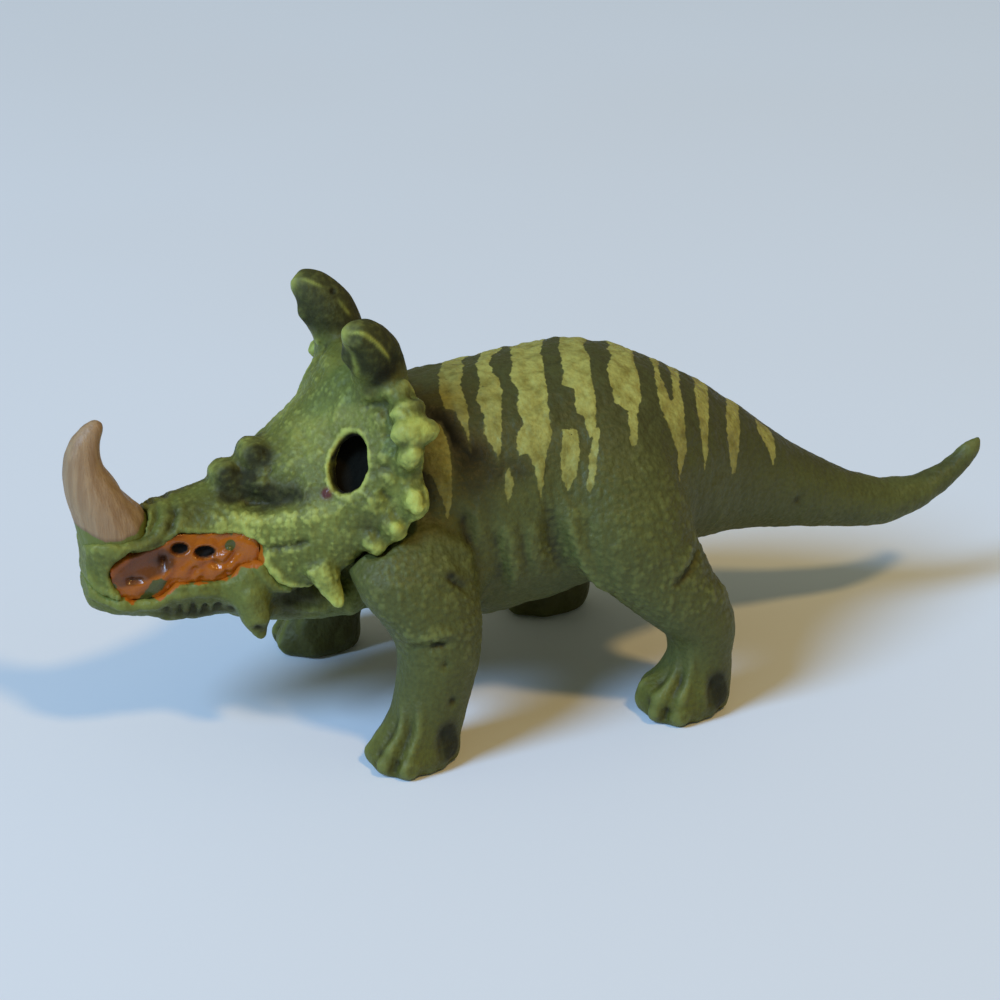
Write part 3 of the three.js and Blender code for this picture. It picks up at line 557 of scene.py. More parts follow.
# Strokes on the head
HEAD_STROKES = [
    # eye hollow
    ([(-35.3, -2.4, 26.3), (-33.4, -3.9, 25.9), (-32.1, -5.1, 25.7), (-30.1, -6.2, 26.2),
      (-28.4, -7.3, 26.6)], 1.1, -0.75),
    ([(-34.0, -3.3, 26.2), (-32.4, -4.6, 26.1), (-30.9, -5.6, 26.2)], 0.7, -0.45),
    ([(-31.6, -4.4, 27.4), (-29.6, -5.4, 27.8), (-28.0, -6.6, 28.2)], 0.9, -0.3),
    # brow folds under the knobs
    ([(-33.3, -2.6, 27.4), (-32.2, -3.5, 27.2), (-30.8, -4.0, 27.8)], 0.6, 0.14),
    ([(-30.8, -3.2, 28.4), (-29.5, -4.6, 28.6), (-28.2, -5.3, 29.1)], 0.7, 0.16),
    ([(-33.1, -1.2, 28.6), (-32.8, -2.4, 28.0)], 0.4, -0.45),
    ([(-35.8, -2.0, 26.7), (-34.4, -3.1, 26.6), (-33.1, -3.3, 27.1)], 0.5, -0.35),
    ([(-32.7, -2.9, 28.1), (-31.2, -3.6, 28.1), (-29.8, -3.5, 28.9)], 0.5, -0.35),
    # cheek ridge
    ([(-38.4, -3.6, 24.5), (-34.6, -4.6, 24.4), (-32.1, -5.9, 24.3), (-29.5, -7.5, 24.7),
      (-27.0, -9.0, 25.4), (-25.3, -9.9, 26.3), (-23.9, -10.7, 27.6)], 1.1, 0.5),
    # mouth corner
    ([(-33.4, -5.8, 21.6), (-31.1, -7.2, 22.0), (-29.4, -8.3, 22.5), (-27.9, -9.3, 23.2)],
     0.36, -0.5),
    # snout folds behind the horn
    ([(-40.4, 0.3, 25.4), (-41.0, -2.6, 24.6), (-41.8, -3.5, 23.5), (-43.4, -3.7, 22.6),
      (-45.3, -2.3, 22.3), (-46.7, -0.4, 21.9)], 0.45, 0.16),
    ([(-41.0, 0.3, 25.2), (-41.7, -2.1, 24.7), (-42.5, -3.1, 23.8), (-44.0, -3.3, 23.0)],
     0.28, -0.3),
    ([(-39.8, 0.3, 25.6), (-39.9, -2.4, 24.9), (-40.6, -3.4, 24.0), (-41.7, -3.9, 23.1)],
     0.32, -0.3),
    ([(-39.0, 0.3, 25.7), (-39.1, -2.4, 25.1), (-39.6, -3.4, 24.4), (-40.8, -4.0, 23.3)],
     0.42, 0.12),
    # fold of the lip under the horn
    ([(-47.9, -0.8, 21.5), (-46.5, -2.0, 21.9), (-44.0, -3.8, 22.1), (-41.4, -4.0, 22.8),
      (-39.4, -3.8, 23.0)], 0.34, -0.22),
    # frill ridges that run out to the edge bumps
    ([(-23.6, -5.4, 34.5), (-21.8, -7.7, 36.2), (-19.8, -9.1, 37.4)], 0.9, 0.3),
    ([(-22.5, -6.8, 34.9), (-21.0, -8.9, 35.9), (-19.7, -10.2, 36.4)], 0.55, -0.28),
    ([(-22.4, -8.0, 34.3), (-20.5, -10.7, 35.2), (-18.7, -11.9, 35.3)], 1.0, 0.32),
    ([(-21.9, -9.6, 33.2), (-20.5, -11.4, 33.4), (-19.5, -12.6, 33.4)], 0.55, -0.28),
    ([(-22.3, -10.4, 31.4), (-21.0, -11.9, 31.4), (-19.9, -13.2, 31.8)], 0.7, 0.18),
    ([(-22.4, -10.8, 30.6), (-21.3, -12.2, 30.2)], 0.35, -0.25),
    ([(-22.6, -11.0, 30.0), (-21.3, -12.2, 29.2), (-20.4, -13.6, 28.6)], 0.8, 0.2),
    ([(-22.4, -11.6, 28.4), (-21.6, -12.6, 27.2)], 0.45, -0.35),
    ([(-23.9, -10.8, 27.6), (-22.7, -11.9, 26.1), (-21.9, -13.2, 25.0)], 0.8, 0.18),
    # from the hook's foot down the face of the frill
    ([(-22.6, -4.4, 36.6), (-23.9, -4.8, 34.4), (-25.3, -5.2, 32.2)], 0.7, 0.25),
    ([(-25.0, -2.4, 34.6), (-26.4, -3.2, 32.6), (-28.0, -3.4, 30.8)], 0.9, -0.2),
    ([(-26.2, -6.0, 31.0), (-27.4, -6.0, 29.6)], 0.8, 0.2),
    # parting lines along the hooks, outer and inner faces
    ([(-24.9, -7.8, 42.2), (-24.4, -8.1, 43.0), (-23.1, -9.4, 43.3), (-22.1, -9.5, 42.6),
      (-21.3, -9.5, 41.7), (-20.1, -9.2, 40.1), (-19.7, -8.9, 38.8)], 0.15, 0.11),
    ([(-24.3, -8.0, 41.2), (-23.7, -8.4, 40.5), (-23.0, -8.0, 39.2)], 0.22, 0.08),
    ([(-23.6, -7.1, 43.9), (-22.5, -5.8, 43.2), (-21.6, -5.3, 42.8)], 0.15, 0.07),
    ([(-20.7, -4.7, 41.7), (-20.1, -4.4, 40.9), (-19.4, -4.3, 40.1)], 0.15, 0.07),
]
HEAD_LUMPS = [
    ((-26.6, -8.4, 27.3), 0.35, 0.28), ((-31.4, -1.8, 29.2), 1.6, 0.55),
    ((-34.3, -1.6, 27.6), 1.5, 0.5), ((-23.8, -6.5, 40.0), 0.8, 0.4),
    ((-22.6, -5.4, 37.4), 0.6, 0.3), ((-28.6, -4.2, 29.6), 1.2, 0.2),
    ((-26.6, -3.6, 32.0), 1.2, 0.15), ((-24.4, -10.8, 24.6), 0.8, -0.25),
    ((-22.9, -12.2, 24.2), 0.6, -0.3), ((-27.0, -10.3, 18.2), 0.9, -0.15),
    ((-24.0, -8.4, 41.2), 1.3, -0.35), ((-21.0, -5.2, 42.4), 0.25, -0.25),
]
# The frill's edge is softened before its own uneven bumps are set on, and then it is pulled in
# places: place, radius, way
FRILL_EDGE = [
    (-19.4, -13.6, 31.6), (-19.2, -14.0, 29.4), (-19.4, -14.4, 27.6), (-20.6, -14.0, 25.8),
    (-21.9, -13.5, 24.4), (-23.6, -12.7, 22.6), (-25.0, -11.6, 21.4),
]
EDGE_LUMPS = [
    ((-16.9, -12.6, 35.0), 0.7, 0.12), ((-17.3, -13.1, 33.8), 0.7, 0.1),
    ((-19.0, -13.0, 35.4), 1.0, 0.2), ((-18.5, -10.3, 36.9), 0.5, -0.4),
    ((-19.6, -13.6, 32.4), 0.6, 0.45), ((-18.8, -13.4, 31.2), 0.8, -0.35),
    ((-20.1, -14.2, 28.3), 0.7, 0.25), ((-19.8, -14.5, 27.0), 0.6, 0.3),
    ((-19.0, -13.8, 29.6), 1.0, -0.3), ((-18.9, -14.2, 28.2), 0.6, -0.35),
    ((-20.6, -13.9, 26.0), 0.6, -0.4), ((-21.5, -13.6, 24.9), 0.5, 0.4),
    ((-22.6, -13.0, 23.6), 0.7, -0.3), ((-23.1, -12.9, 22.5), 0.5, 0.1),
    ((-24.2, -12.2, 21.8), 0.9, -0.3), ((-19.9, -12.4, 33.9), 0.6, -0.25),
    ((-21.0, -10.5, 38.2), 0.8, 0.35), ((-21.6, -8.4, 37.0), 0.6, -0.3),
    ((-19.2, -8.6, 39.4), 1.1, -0.55), ((-19.0, -9.0, 37.6), 0.6, 0.2),
]
EDGE_PULLS = [
    ((-17.0, -12.6, 34.6), 1.1, (0.1, -0.05, -0.1)), ((-19.2, -14.4, 28.6), 0.8, (0.3, -0.1, 0.3)),
    ((-18.9, -9.3, 37.6), 0.7, (0.2, 0.0, 0.15)), ((-17.9, -11.1, 36.4), 0.7, (0.25, -0.1, 0.1)),
    ((-26.9, -10.5, 16.6), 0.9, (0.1, -0.1, -0.3)),
    # the lip that climbs the foot of the horn
    ((-48.4, -1.6, 21.9), 1.6, (-0.35, -0.4, 1.35)),
    ((-46.6, -3.0, 21.6), 1.5, (0.0, -0.45, 0.95)), ((-44.6, -3.3, 22.0), 1.3, (0.0, -0.25, 0.6)),
]
# The band along the cheek where the pebbles are full
CHEEK_BAND = [(-38.4, -3.8, 24.2), (-34.6, -4.8, 24.2), (-31.0, -6.8, 24.2), (-27.0, -9.2, 24.8),
              (-24.6, -10.6, 26.0)]
# Dark brown green: painted shade in the eye hollow, the snout folds, the mouth corner and at
# the foot of the hooks; dark paint with painted shade on the knobs' faces; dark paint on the
# upper bumps
HEAD_STAINS_AND_SHADE = [
    ((-34.4, -1.7, 27.7), 1.5, 0.9), ((-31.5, -1.8, 29.5), 1.6, 0.9),
    ((-33.8, -2.3, 27.1), 1.3, 0.8), ((-30.8, -2.1, 29.1), 1.3, 0.7),
    ((-34.7, -2.8, 26.1), 1.0, 0.8), ((-33.3, -3.3, 26.6), 1.1, 1.0),
    ((-32.2, -4.7, 25.9), 1.2, 1.1), ((-30.8, -5.5, 26.3), 1.1, 0.95),
    ((-29.4, -6.4, 26.9), 1.1, 0.85), ((-28.4, -7.3, 26.6), 0.9, 0.5),
    ((-31.5, -4.7, 26.7), 0.9, 0.6), ((-32.4, -2.9, 26.9), 0.8, 0.7),
    ((-32.6, -2.9, 27.9), 0.8, 0.6), ((-31.0, -4.4, 27.4), 1.2, 0.35),
    ((-40.8, -3.3, 24.0), 0.7, 0.5), ((-42.4, -3.5, 23.2), 0.7, 0.5),
    ((-40.0, -2.0, 24.9), 0.7, 0.4), ((-43.9, -3.4, 22.7), 0.7, 0.4),
    ((-37.8, -3.2, 24.6), 2.2, 0.3), ((-46.5, -3.0, 21.3), 1.6, 0.25),
    ((-42.0, -3.9, 22.4), 0.6, 0.4), ((-40.2, -4.2, 22.9), 0.7, 0.55),
    ((-38.2, -4.6, 23.0), 0.6, 0.4), ((-33.0, -6.0, 21.6), 0.7, 0.5),
    ((-31.1, -7.2, 21.9), 0.6, 0.4), ((-29.4, -8.3, 22.4), 0.6, 0.35),
    ((-20.2, -9.1, 39.3), 0.9, 0.8), ((-21.2, -8.6, 38.0), 0.8, 0.7),
    ((-22.0, -7.7, 36.9), 0.9, 0.7), ((-22.8, -6.6, 35.6), 0.8, 0.4),
    ((-18.9, -9.4, 37.6), 1.2, 0.35), ((-18.2, -11.2, 36.2), 1.0, 0.9),
    ((-44.0, -3.0, 20.6), 2.0, 0.15), ((-20.4, -13.0, 33.3), 0.5, 0.5),
    ((-19.3, -14.0, 33.0), 0.5, 0.5), ((-21.4, -9.0, 34.8), 0.7, 0.5),
    ((-20.4, -10.4, 35.9), 0.5, 0.5), ((-17.4, -12.6, 34.2), 0.6, 0.25),
    ((-20.3, -12.6, 31.2), 0.8, 0.25), ((-20.9, -12.4, 27.2), 0.8, 0.1),
    ((-22.3, -12.4, 25.3), 0.7, 0.4), ((-22.2, -11.2, 30.1), 1.0, 0.35),
    ((-23.4, -11.6, 25.3), 0.8, 0.25), ((-23.4, -11.6, 24.6), 0.8, 0.3),
    ((-25.4, -9.4, 21.0), 1.4, 0.25), ((-40.0, -2.6, 24.8), 2.4, 0.3),
    ((-37.0, -2.4, 25.6), 2.2, 0.25), ((-44.5, -3.4, 21.6), 2.2, 0.2),
    ((-30.0, -5.8, 27.2), 1.6, 0.3), ((-24.2, -11.4, 24.6), 2.2, 0.22),
    ((-27.6, -8.6, 21.8), 2.2, 0.2), ((-17.2, -12.8, 34.8), 0.6, 0.35),
]
# Rings: middle, facing, radius across, radius up, width of the ring, height
HEAD_RINGS = [
    ((-24.67, -8.8, 30.3), (-0.62, -0.62, 0.48), 2.28, 3.28, 0.11, 0.2),
    ((-21.0, -5.2, 42.4), (-0.3, 0.95, 0.1), 0.42, 0.42, 0.26, 0.04),
]
# Share of the rim's radii inside which the frill's opening is painted in shade
HOLE_SHADE = (0.86, 0.93)
# Bumps of the frill, cheek horns and tips of the hooks that are painted lime: place, radius
LIME_BUMPS = [
    ((-19.4, -12.6, 34.9), 0.8), ((-18.4, -13.2, 34.4), 0.7), ((-19.7, -13.5, 32.4), 0.6),
    ((-20.1, -14.2, 28.0), 0.8), ((-19.6, -14.6, 26.8), 0.6), ((-21.5, -13.6, 24.9), 0.6),
    ((-23.1, -12.9, 22.5), 0.6), ((-26.7, -10.4, 16.9), 1.4), ((-24.6, -8.0, 43.2), 0.9),
    ((-24.6, -7.9, 41.4), 0.5),
]
# The small eye's paint, and the paler tips of the hooks
EYE = ((-26.6, -8.4, 27.3), 0.45, 2.4)
HOOK_TIPS = [((-24.9, -7.8, 43.0), 1.2, 1), ((-24.9, -7.8, 41.4), 0.7, 1)]
# Round the knobs little light paint is rubbed on
KNOB_PLACES = [((-31.4, -2.0, 29.4), 2.4, 0.9), ((-34.2, -2.0, 27.8), 2.2, 0.8)]
# Painted shade, nearly black: at the foot of the hook and in the pit in the other hook
HEAD_DEEP_SHADE = [
    ((-20.7, -9.2, 39.0), 0.9, 0.75), ((-21.6, -8.6, 37.9), 0.6, 0.5),
    ((-21.0, -5.2, 42.4), 0.28, 1.0),
]
# Light parting lines on the hooks
PARTING_LINES = [
    ([(-24.9, -7.8, 42.2), (-24.4, -8.1, 43.2), (-23.2, -9.3, 43.4), (-21.8, -9.6, 42.4),
      (-20.7, -9.4, 41.0), (-19.7, -9.0, 39.4)], 0.2, 0.75),
    ([(-24.6, -7.9, 41.8), (-23.9, -8.4, 40.8), (-23.2, -8.0, 39.4), (-22.9, -7.0, 38.0)],
     0.35, 0.45),
    ([(-24.4, -7.2, 43.4), (-23.5, -6.7, 43.5), (-22.6, -5.8, 43.2), (-21.7, -5.3, 42.8)],
     0.18, 0.45),
    ([(-20.7, -4.7, 41.7), (-20.1, -4.3, 40.7), (-19.5, -4.2, 39.9)], 0.18, 0.4),
]
# Paler green on the face of the frill and along the cheek
PALE_PLACES = [
    ((-25.4, -3.6, 33.0), 2.2, 0.25), ((-27.4, -2.8, 31.4), 1.8, 0.22),
    ((-23.4, -6.4, 34.6), 1.8, 0.22), ((-27.0, -6.0, 31.0), 1.6, 0.18),
    ((-21.1, -12.3, 27.3), 1.0, 0.3), ((-30.5, -7.0, 24.4), 1.6, 0.3),
    ((-33.6, -5.4, 24.2), 1.6, 0.25), ((-27.4, -9.2, 25.0), 1.8, 0.28),
    ((-36.6, -4.4, 24.2), 1.2, 0.12),
]

# Outlines of the sprayed stripes: place along the figure, and arc down from the spine
STRIPE_OUTLINES = [
    [(-16.9, 6.5), (-14.3, 7.2), (-14.0, 9.7), (-14.4, 13.2), (-14.8, 16.2), (-15.5, 18.4),
     (-16.1, 14.8), (-16.5, 13.1), (-17.5, 11.9), (-17.4, 8.6)],
    [(-11.9, -3.0), (-8.9, -3.0), (-9.6, 1.0), (-10.8, 3.2), (-11.0, 5.3), (-11.6, 8.2),
     (-12.4, 11.2), (-12.6, 8.5), (-12.9, 6.5), (-13.7, 6.0), (-13.4, 3.4), (-12.4, 0.6)],
    [(-7.9, -3.0), (-6.1, -3.0), (-6.6, 0.2), (-6.9, 2.0), (-6.8, 3.6), (-7.3, 5.5), (-8.2, 7.9),
     (-9.0, 10.6), (-10.0, 13.3), (-10.3, 11.6), (-10.8, 9.6), (-10.2, 7.5), (-10.4, 5.6),
     (-9.2, 3.4), (-8.5, 0.7)],
    [(-3.6, -3.0), (-0.6, -3.0), (-1.3, 1.0), (-2.4, 4.4), (-2.9, 6.4), (-3.7, 8.8), (-4.0, 11.0),
     (-5.2, 13.3), (-5.9, 15.9), (-6.5, 17.7), (-6.8, 14.1), (-7.1, 12.5), (-8.1, 12.7),
     (-7.9, 10.3), (-6.7, 9.4), (-6.9, 7.8), (-6.0, 5.4), (-6.1, 3.4), (-5.0, 1.2)],
    [(-9.2, 12.9), (-8.8, 13.4), (-8.6, 15.0), (-9.1, 16.4), (-9.7, 17.6), (-10.0, 16.0),
     (-9.7, 14.0)],
    [(1.2, -3.0), (4.6, -3.0), (3.4, 0.6), (2.9, 2.9), (2.2, 4.8), (1.6, 7.4), (1.0, 9.7),
     (0.5, 11.2), (-0.7, 12.4), (-0.7, 9.8), (-1.4, 9.3), (-0.7, 6.9), (-1.5, 5.8), (-0.6, 3.5),
     (0.2, 1.0)],
    [(0.9, 10.8), (0.4, 12.5), (-0.7, 15.6), (-1.8, 17.8), (-2.1, 16.3), (-1.2, 13.7),
     (-0.1, 11.0)],
    [(-3.2, 10.6), (-2.0, 10.5), (-1.3, 11.0), (-1.7, 13.3), (-2.5, 15.4), (-3.8, 17.0),
     (-4.2, 15.4), (-4.0, 13.1)],
    [(6.2, -3.0), (9.4, -3.0), (9.0, 0.0), (7.9, 2.8), (7.4, 5.0), (6.5, 8.2), (5.3, 10.4),
     (4.4, 13.0), (3.6, 13.9), (3.2, 12.6), (4.0, 9.9), (2.9, 8.8), (3.2, 6.9), (3.6, 4.8),
     (5.4, 2.0)],
    [(11.0, -3.0), (12.2, -3.0), (11.6, 0.8), (10.6, 3.2), (10.2, 5.2), (9.9, 8.2), (10.9, 5.7),
     (11.8, 2.6), (13.0, -3.0), (14.8, -3.0), (13.8, 1.0), (12.2, 5.4), (11.7, 7.9),
     (10.8, 12.0), (10.4, 14.8), (8.1, 18.4), (8.8, 14.7), (8.4, 11.7), (7.9, 9.6), (8.6, 6.0),
     (10.0, 2.4)],
    [(15.6, -3.0), (17.5, -3.0), (17.2, 1.0), (15.8, 5.0), (15.0, 8.1), (14.1, 11.1),
     (12.8, 16.2), (12.2, 18.3), (12.4, 13.1), (12.8, 9.0), (13.6, 5.4), (14.9, 2.0)],
    [(19.3, -3.0), (21.0, -3.0), (20.6, 1.8), (19.5, 6.0), (18.9, 9.3), (18.4, 11.8),
     (17.2, 16.9), (16.5, 17.4), (16.2, 14.0), (16.4, 10.4), (17.4, 6.0), (18.7, 1.8)],
    [(22.4, 1.4), (24.0, 2.6), (24.1, 6.0), (23.4, 11.8), (22.6, 16.4), (22.2, 11.4),
     (21.4, 7.4), (21.8, 4.0)],
]
# Radius that turns the stripes' arcs into lengths
STRIPE_ARC_RADIUS = 13.5
# The stripes slant over the spine, so they reach the right side further back
STRIPE_SLANT = 0.8
STRIPE_SLANT_END = 6
# The axis that the arcs turn about: its height, and how it falls toward the tail
SPINE_AXIS_HEIGHT = 21
SPINE_AXIS_FALL = 0.2
SPINE_FALL_START = 10

# Nose horn: hollow at its back, tip, and the height up to which its foot is green
HORN_LUMPS = [((-43.6, 0.0, 27.4), 1.9, -0.65)]
HORN_PULLS = [((-46.9, 0.0, 34.2), 1.6, (0.35, 0.0, 0.0))]
HORN_FOOT = (
    (-50.0, -48.5, -47.8, -47.0, -45.6, -44.0, -41.8),
    (24.8, 24.3, 23.8, 23.5, 23.4, 23.8, 25.1),
)

# Outline of the orange paint in the side view: along the figure, and up
MOUTH_OUTLINE = [
    (-46.4, 19.5), (-45.8, 20.2), (-44.8, 20.7), (-43.4, 21.4), (-42.3, 21.8), (-41.1, 22.2),
    (-40.2, 22.6), (-38.7, 22.7), (-37.3, 22.7), (-36.0, 22.2), (-34.8, 22.0), (-34.2, 22.5),
    (-33.3, 22.6), (-32.5, 21.9), (-32.6, 20.2), (-33.7, 19.9), (-34.6, 19.9), (-35.0, 19.2),
    (-36.1, 18.5), (-38.4, 18.5), (-40.4, 18.5), (-41.0, 18.0), (-42.4, 17.0), (-42.9, 17.4),
    (-41.9, 18.1), (-41.5, 18.9), (-42.0, 19.3), (-42.8, 19.1), (-43.4, 18.2), (-44.1, 17.2),
    (-45.0, 16.8), (-45.5, 17.3), (-45.9, 18.4),
]
# Pits of the mouth piece in the side view: middle, radii
MOUTH_HOLES = [((-40.0, 21.9), (0.85, 0.55)), ((-37.7, 21.4), (1.05, 0.62))]

# The sunk part of the mouth piece inside the beak, darker brown red as partly painted shade, its
# middle line, and the folds
LEAF_OUTLINE = [
    (-46.4, 19.4), (-45.7, 20.4), (-44.8, 21.0), (-43.8, 21.6), (-42.8, 22.0), (-41.4, 21.9),
    (-40.7, 21.3), (-40.8, 20.4), (-41.9, 19.7), (-43.2, 19.2), (-44.4, 18.7), (-45.8, 18.5),
]
MOUTH_LEAF = [(-45.6, -3.0, 19.6), (-43.6, -3.6, 20.3), (-41.4, -4.0, 20.9)]
MOUTH_STROKES = [
    (MOUTH_LEAF, 0.9, -0.3), ([(-42.2, -3.8, 21.0), (-41.3, -3.9, 21.0)], 0.8, -0.35),
    ([(-45.4, -3.1, 19.2), (-44.9, -3.2, 19.1), (-44.1, -3.5, 19.1), (-43.4, -3.6, 19.2)],
     0.25, -0.5),
    ([(-41.9, -3.8, 20.9), (-41.2, -3.9, 21.0)], 0.35, -0.45),
    ([(-40.6, -4.2, 21.2), (-41.2, -4.3, 20.0), (-42.4, -4.0, 18.4)], 0.45, 0.3),
]

# Painted shade in the dark folds, and the uneven part that glistens
MOUTH_FOLD_SHADE = [
    ((-41.8, -3.8, 21.0), 0.75, 0.8), ((-44.7, -3.3, 19.4), 0.28, 0.6),
    ((-41.0, -4.2, 22.0), 0.5, 0.4),
]
WET_PLACES = [((-36.4, -5.0, 20.8), 1.6, 0.5), ((-38.4, -4.8, 20.0), 1.3, 0.3)]
# Spots of the mouth piece that the orange left green
GREEN_SPOTS = [((-35.4, -5.0, 21.7), 0.65, 1.8)]
# Brown red in the folds and round the pits of the mouth piece, partly painted shade
MOUTH_STAINS_AND_SHADE = [
    ((-41.5, -3.8, 21.0), 0.9, 0.8), ((-44.7, -3.3, 19.3), 0.5, 0.7),
    ((-35.5, -4.9, 21.7), 0.5, 0.8), ((-40.0, -4.2, 22.2), 1.3, 0.5),
    ((-43.0, -3.6, 18.2), 0.8, 0.4),
]

# A turn that keeps the noise from lining up with the figure
NOISE_TURN = np.array(Euler((0.7, 0.5, 1.1)).to_matrix())
RANDOM_VALUES = np.random.default_rng(11).random(4096)


# Working a mesh as by hand

def deselect_all():
    bpy.ops.object.select_all(action="DESELECT")


def make_active(piece):
    deselect_all()
    piece.select_set(True)
    bpy.context.view_layer.objects.active = piece


def finish_modifier(piece, kind, **values):
    """Adds one modifier, sets it and applies it."""
    make_active(piece)
    modifier = piece.modifiers.new(kind.title(), kind)
    for name, value in values.items():
        setattr(modifier, name, value)
    bpy.ops.object.modifier_apply(modifier=modifier.name)


def new_object(name, mesh):
    piece = bpy.data.objects.new(name, mesh)
    bpy.context.scene.collection.objects.link(piece)
    return piece


def object_from(work, name):
    """A new object that takes over the mesh being worked."""
    mesh = bpy.data.meshes.new(name)
    work.to_mesh(mesh)
    work.free()
    return new_object(name, mesh)


def solid_copy(nodes, name):
    """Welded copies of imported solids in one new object."""
    work = bmesh.new()
    for node in nodes:
        work.from_mesh(NODES[node].data)
    bmesh.ops.remove_doubles(work, verts=work.verts, dist=WELD)
    return object_from(work, name)


def shell_roots(count, edges):
    """For each point, the lowest point of the shell that it belongs to."""
    root = np.arange(count)
    while True:
        low = np.minimum(root[edges[:, 0]], root[edges[:, 1]])
        found = root.copy()
        np.minimum.at(found, edges[:, 0], low)
        np.minimum.at(found, edges[:, 1], low)
        found = found[found]
        if (found == root).all():
            return root
        root = found


def keep_largest_shell(piece):
    """Drops the small closed shells that are left where gaps between solids were."""
    mesh = piece.data
    edges = np.empty(len(mesh.edges) * 2, np.int32)
    mesh.edges.foreach_get("vertices", edges)
    root = shell_roots(len(mesh.vertices), edges.reshape(-1, 2))
    largest = np.bincount(root).argmax()
    work = bmesh.new()
    work.from_mesh(mesh)
    lost = [v for v, r in zip(work.verts, root) if r != largest]
    bmesh.ops.delete(work, geom=lost, context="VERTS")
    work.to_mesh(mesh)
    work.free()


def lattice_values(cells, seed, channel=0):
    """A fixed random value from 0 to 1 for each cell of a lattice."""
    mixed_up = cells * HASH_STEPS
    key = mixed_up[:, 0] ^ mixed_up[:, 1] ^ mixed_up[:, 2]
    return RANDOM_VALUES[(key + seed * SEED_STEP + channel * CHANNEL_STEP) % len(RANDOM_VALUES)]


def cloud(points, pitch, seed):
    """Smooth noise from -1 to 1 with features about pitch apart."""
    place = points @ NOISE_TURN / pitch
    base = np.floor(place).astype(np.int64)
    share = smooth_share(place - base, 0, 1)
    total = np.zeros(len(points))
    for corner in itertools.product((0, 1), repeat=3):
        weight = np.prod(np.where(corner, share, 1 - share), axis=1)
        total += weight * lattice_values(base + corner, seed)
    return 2 * total - 1


def pebbles(points, pitch, seed):
    """Round pebbles of mixed sizes, 1 at each one's top and 0 between them."""
    place = points / pitch
    base = np.floor(place).astype(np.int64)
    best = np.zeros(len(points))
    for offset in itertools.product((-1, 0, 1), repeat=3):
        cell = base + offset
        loose = np.stack([lattice_values(cell, seed, k) for k in range(3)], axis=1)
        radius = PEBBLE_LEAST + PEBBLE_MORE * lattice_values(cell, seed, 3)
        apart = ((place - cell - (1 - PEBBLE_LOOSE) / 2 - PEBBLE_LOOSE * loose) ** 2).sum(1)
        best = np.maximum(best, 1 - apart / radius ** 2)
    return np.sqrt(best)


def billows(points, pitch, seed):
    """Rounded swellings with creases between them, in two sizes, about 0."""
    large = np.abs(cloud(points, pitch, seed))
    small = np.abs(cloud(points, 0.5 * pitch, seed + SMALL_BILLOWS_SEED))
    return large + SMALL_BILLOWS * small - BILLOWS_MIDDLE


def smooth_share(value, low, high):
    """A share that eases from 0 at the first place to 1 at the second."""
    share = np.clip((value - low) / (high - low), 0, 1)
    return share * share * (3 - 2 * share)


def between(low, share):
    """A value that goes from low to 1 as the share goes from 0 to 1."""
    return low + (1 - low) * share


def moved(table, place):
    """A table of strokes or lumps set at another place."""
    return [(np.add(entry[0], place), *entry[1:]) for entry in table]


def line_distance(points, line):
    """Distance from each point to a broken line, and how far along it the nearest place is."""
    line = np.array(line, float)
    steps = np.linalg.norm(np.diff(line, axis=0), axis=1)
    starts = np.concatenate([[0], np.cumsum(steps)])
    best = np.full(len(points), np.inf)
    along = np.zeros(len(points))
    for k, step in enumerate(steps):
        way = (line[k + 1] - line[k]) / step
        reach = np.clip((points - line[k]) @ way, 0, step)
        distance = np.linalg.norm(points - line[k] - reach[:, None] * way, axis=1)
        nearer = distance < best
        best[nearer] = distance[nearer]
        along[nearer] = (starts[k] + reach[nearer]) / starts[-1]
    return best, along


def outline_depth(places, outline):
    """How deep each place lies inside a closed outline, negative outside it."""
    corners = np.array(outline, float)
    inside = np.zeros(len(places), bool)
    best = np.full(len(places), np.inf)
    for here, after in zip(corners, np.roll(corners, -1, axis=0)):
        edge = after - here
        reach = np.clip(((places - here) @ edge) / (edge @ edge), 0, 1)
        best = np.minimum(best, np.linalg.norm(places - here - reach[:, None] * edge, axis=1))
        crosses = (here[1] > places[:, 1]) != (after[1] > places[:, 1])
        rise = after[1] - here[1] if after[1] != here[1] else 1
        meet = here[0] + (places[:, 1] - here[1]) * edge[0] / rise
        inside ^= crosses & (places[:, 0] < meet)
    return np.where(inside, best, -best)


def mirrored(points):
    """Matching places on the animal's left, with the right feet's stride undone."""
    x, y, z = points.T
    low = 1 - smooth_share(z, STRIDE_LOW, STRIDE_HIGH)
    ahead = np.where(x > STRIDE_MIDDLE, HIND_STRIDE, FRONT_STRIDE) * low * (y > 0)
    return np.stack([x + ahead * (x > STRIDE_FRONT), -np.abs(y), z], axis=1)


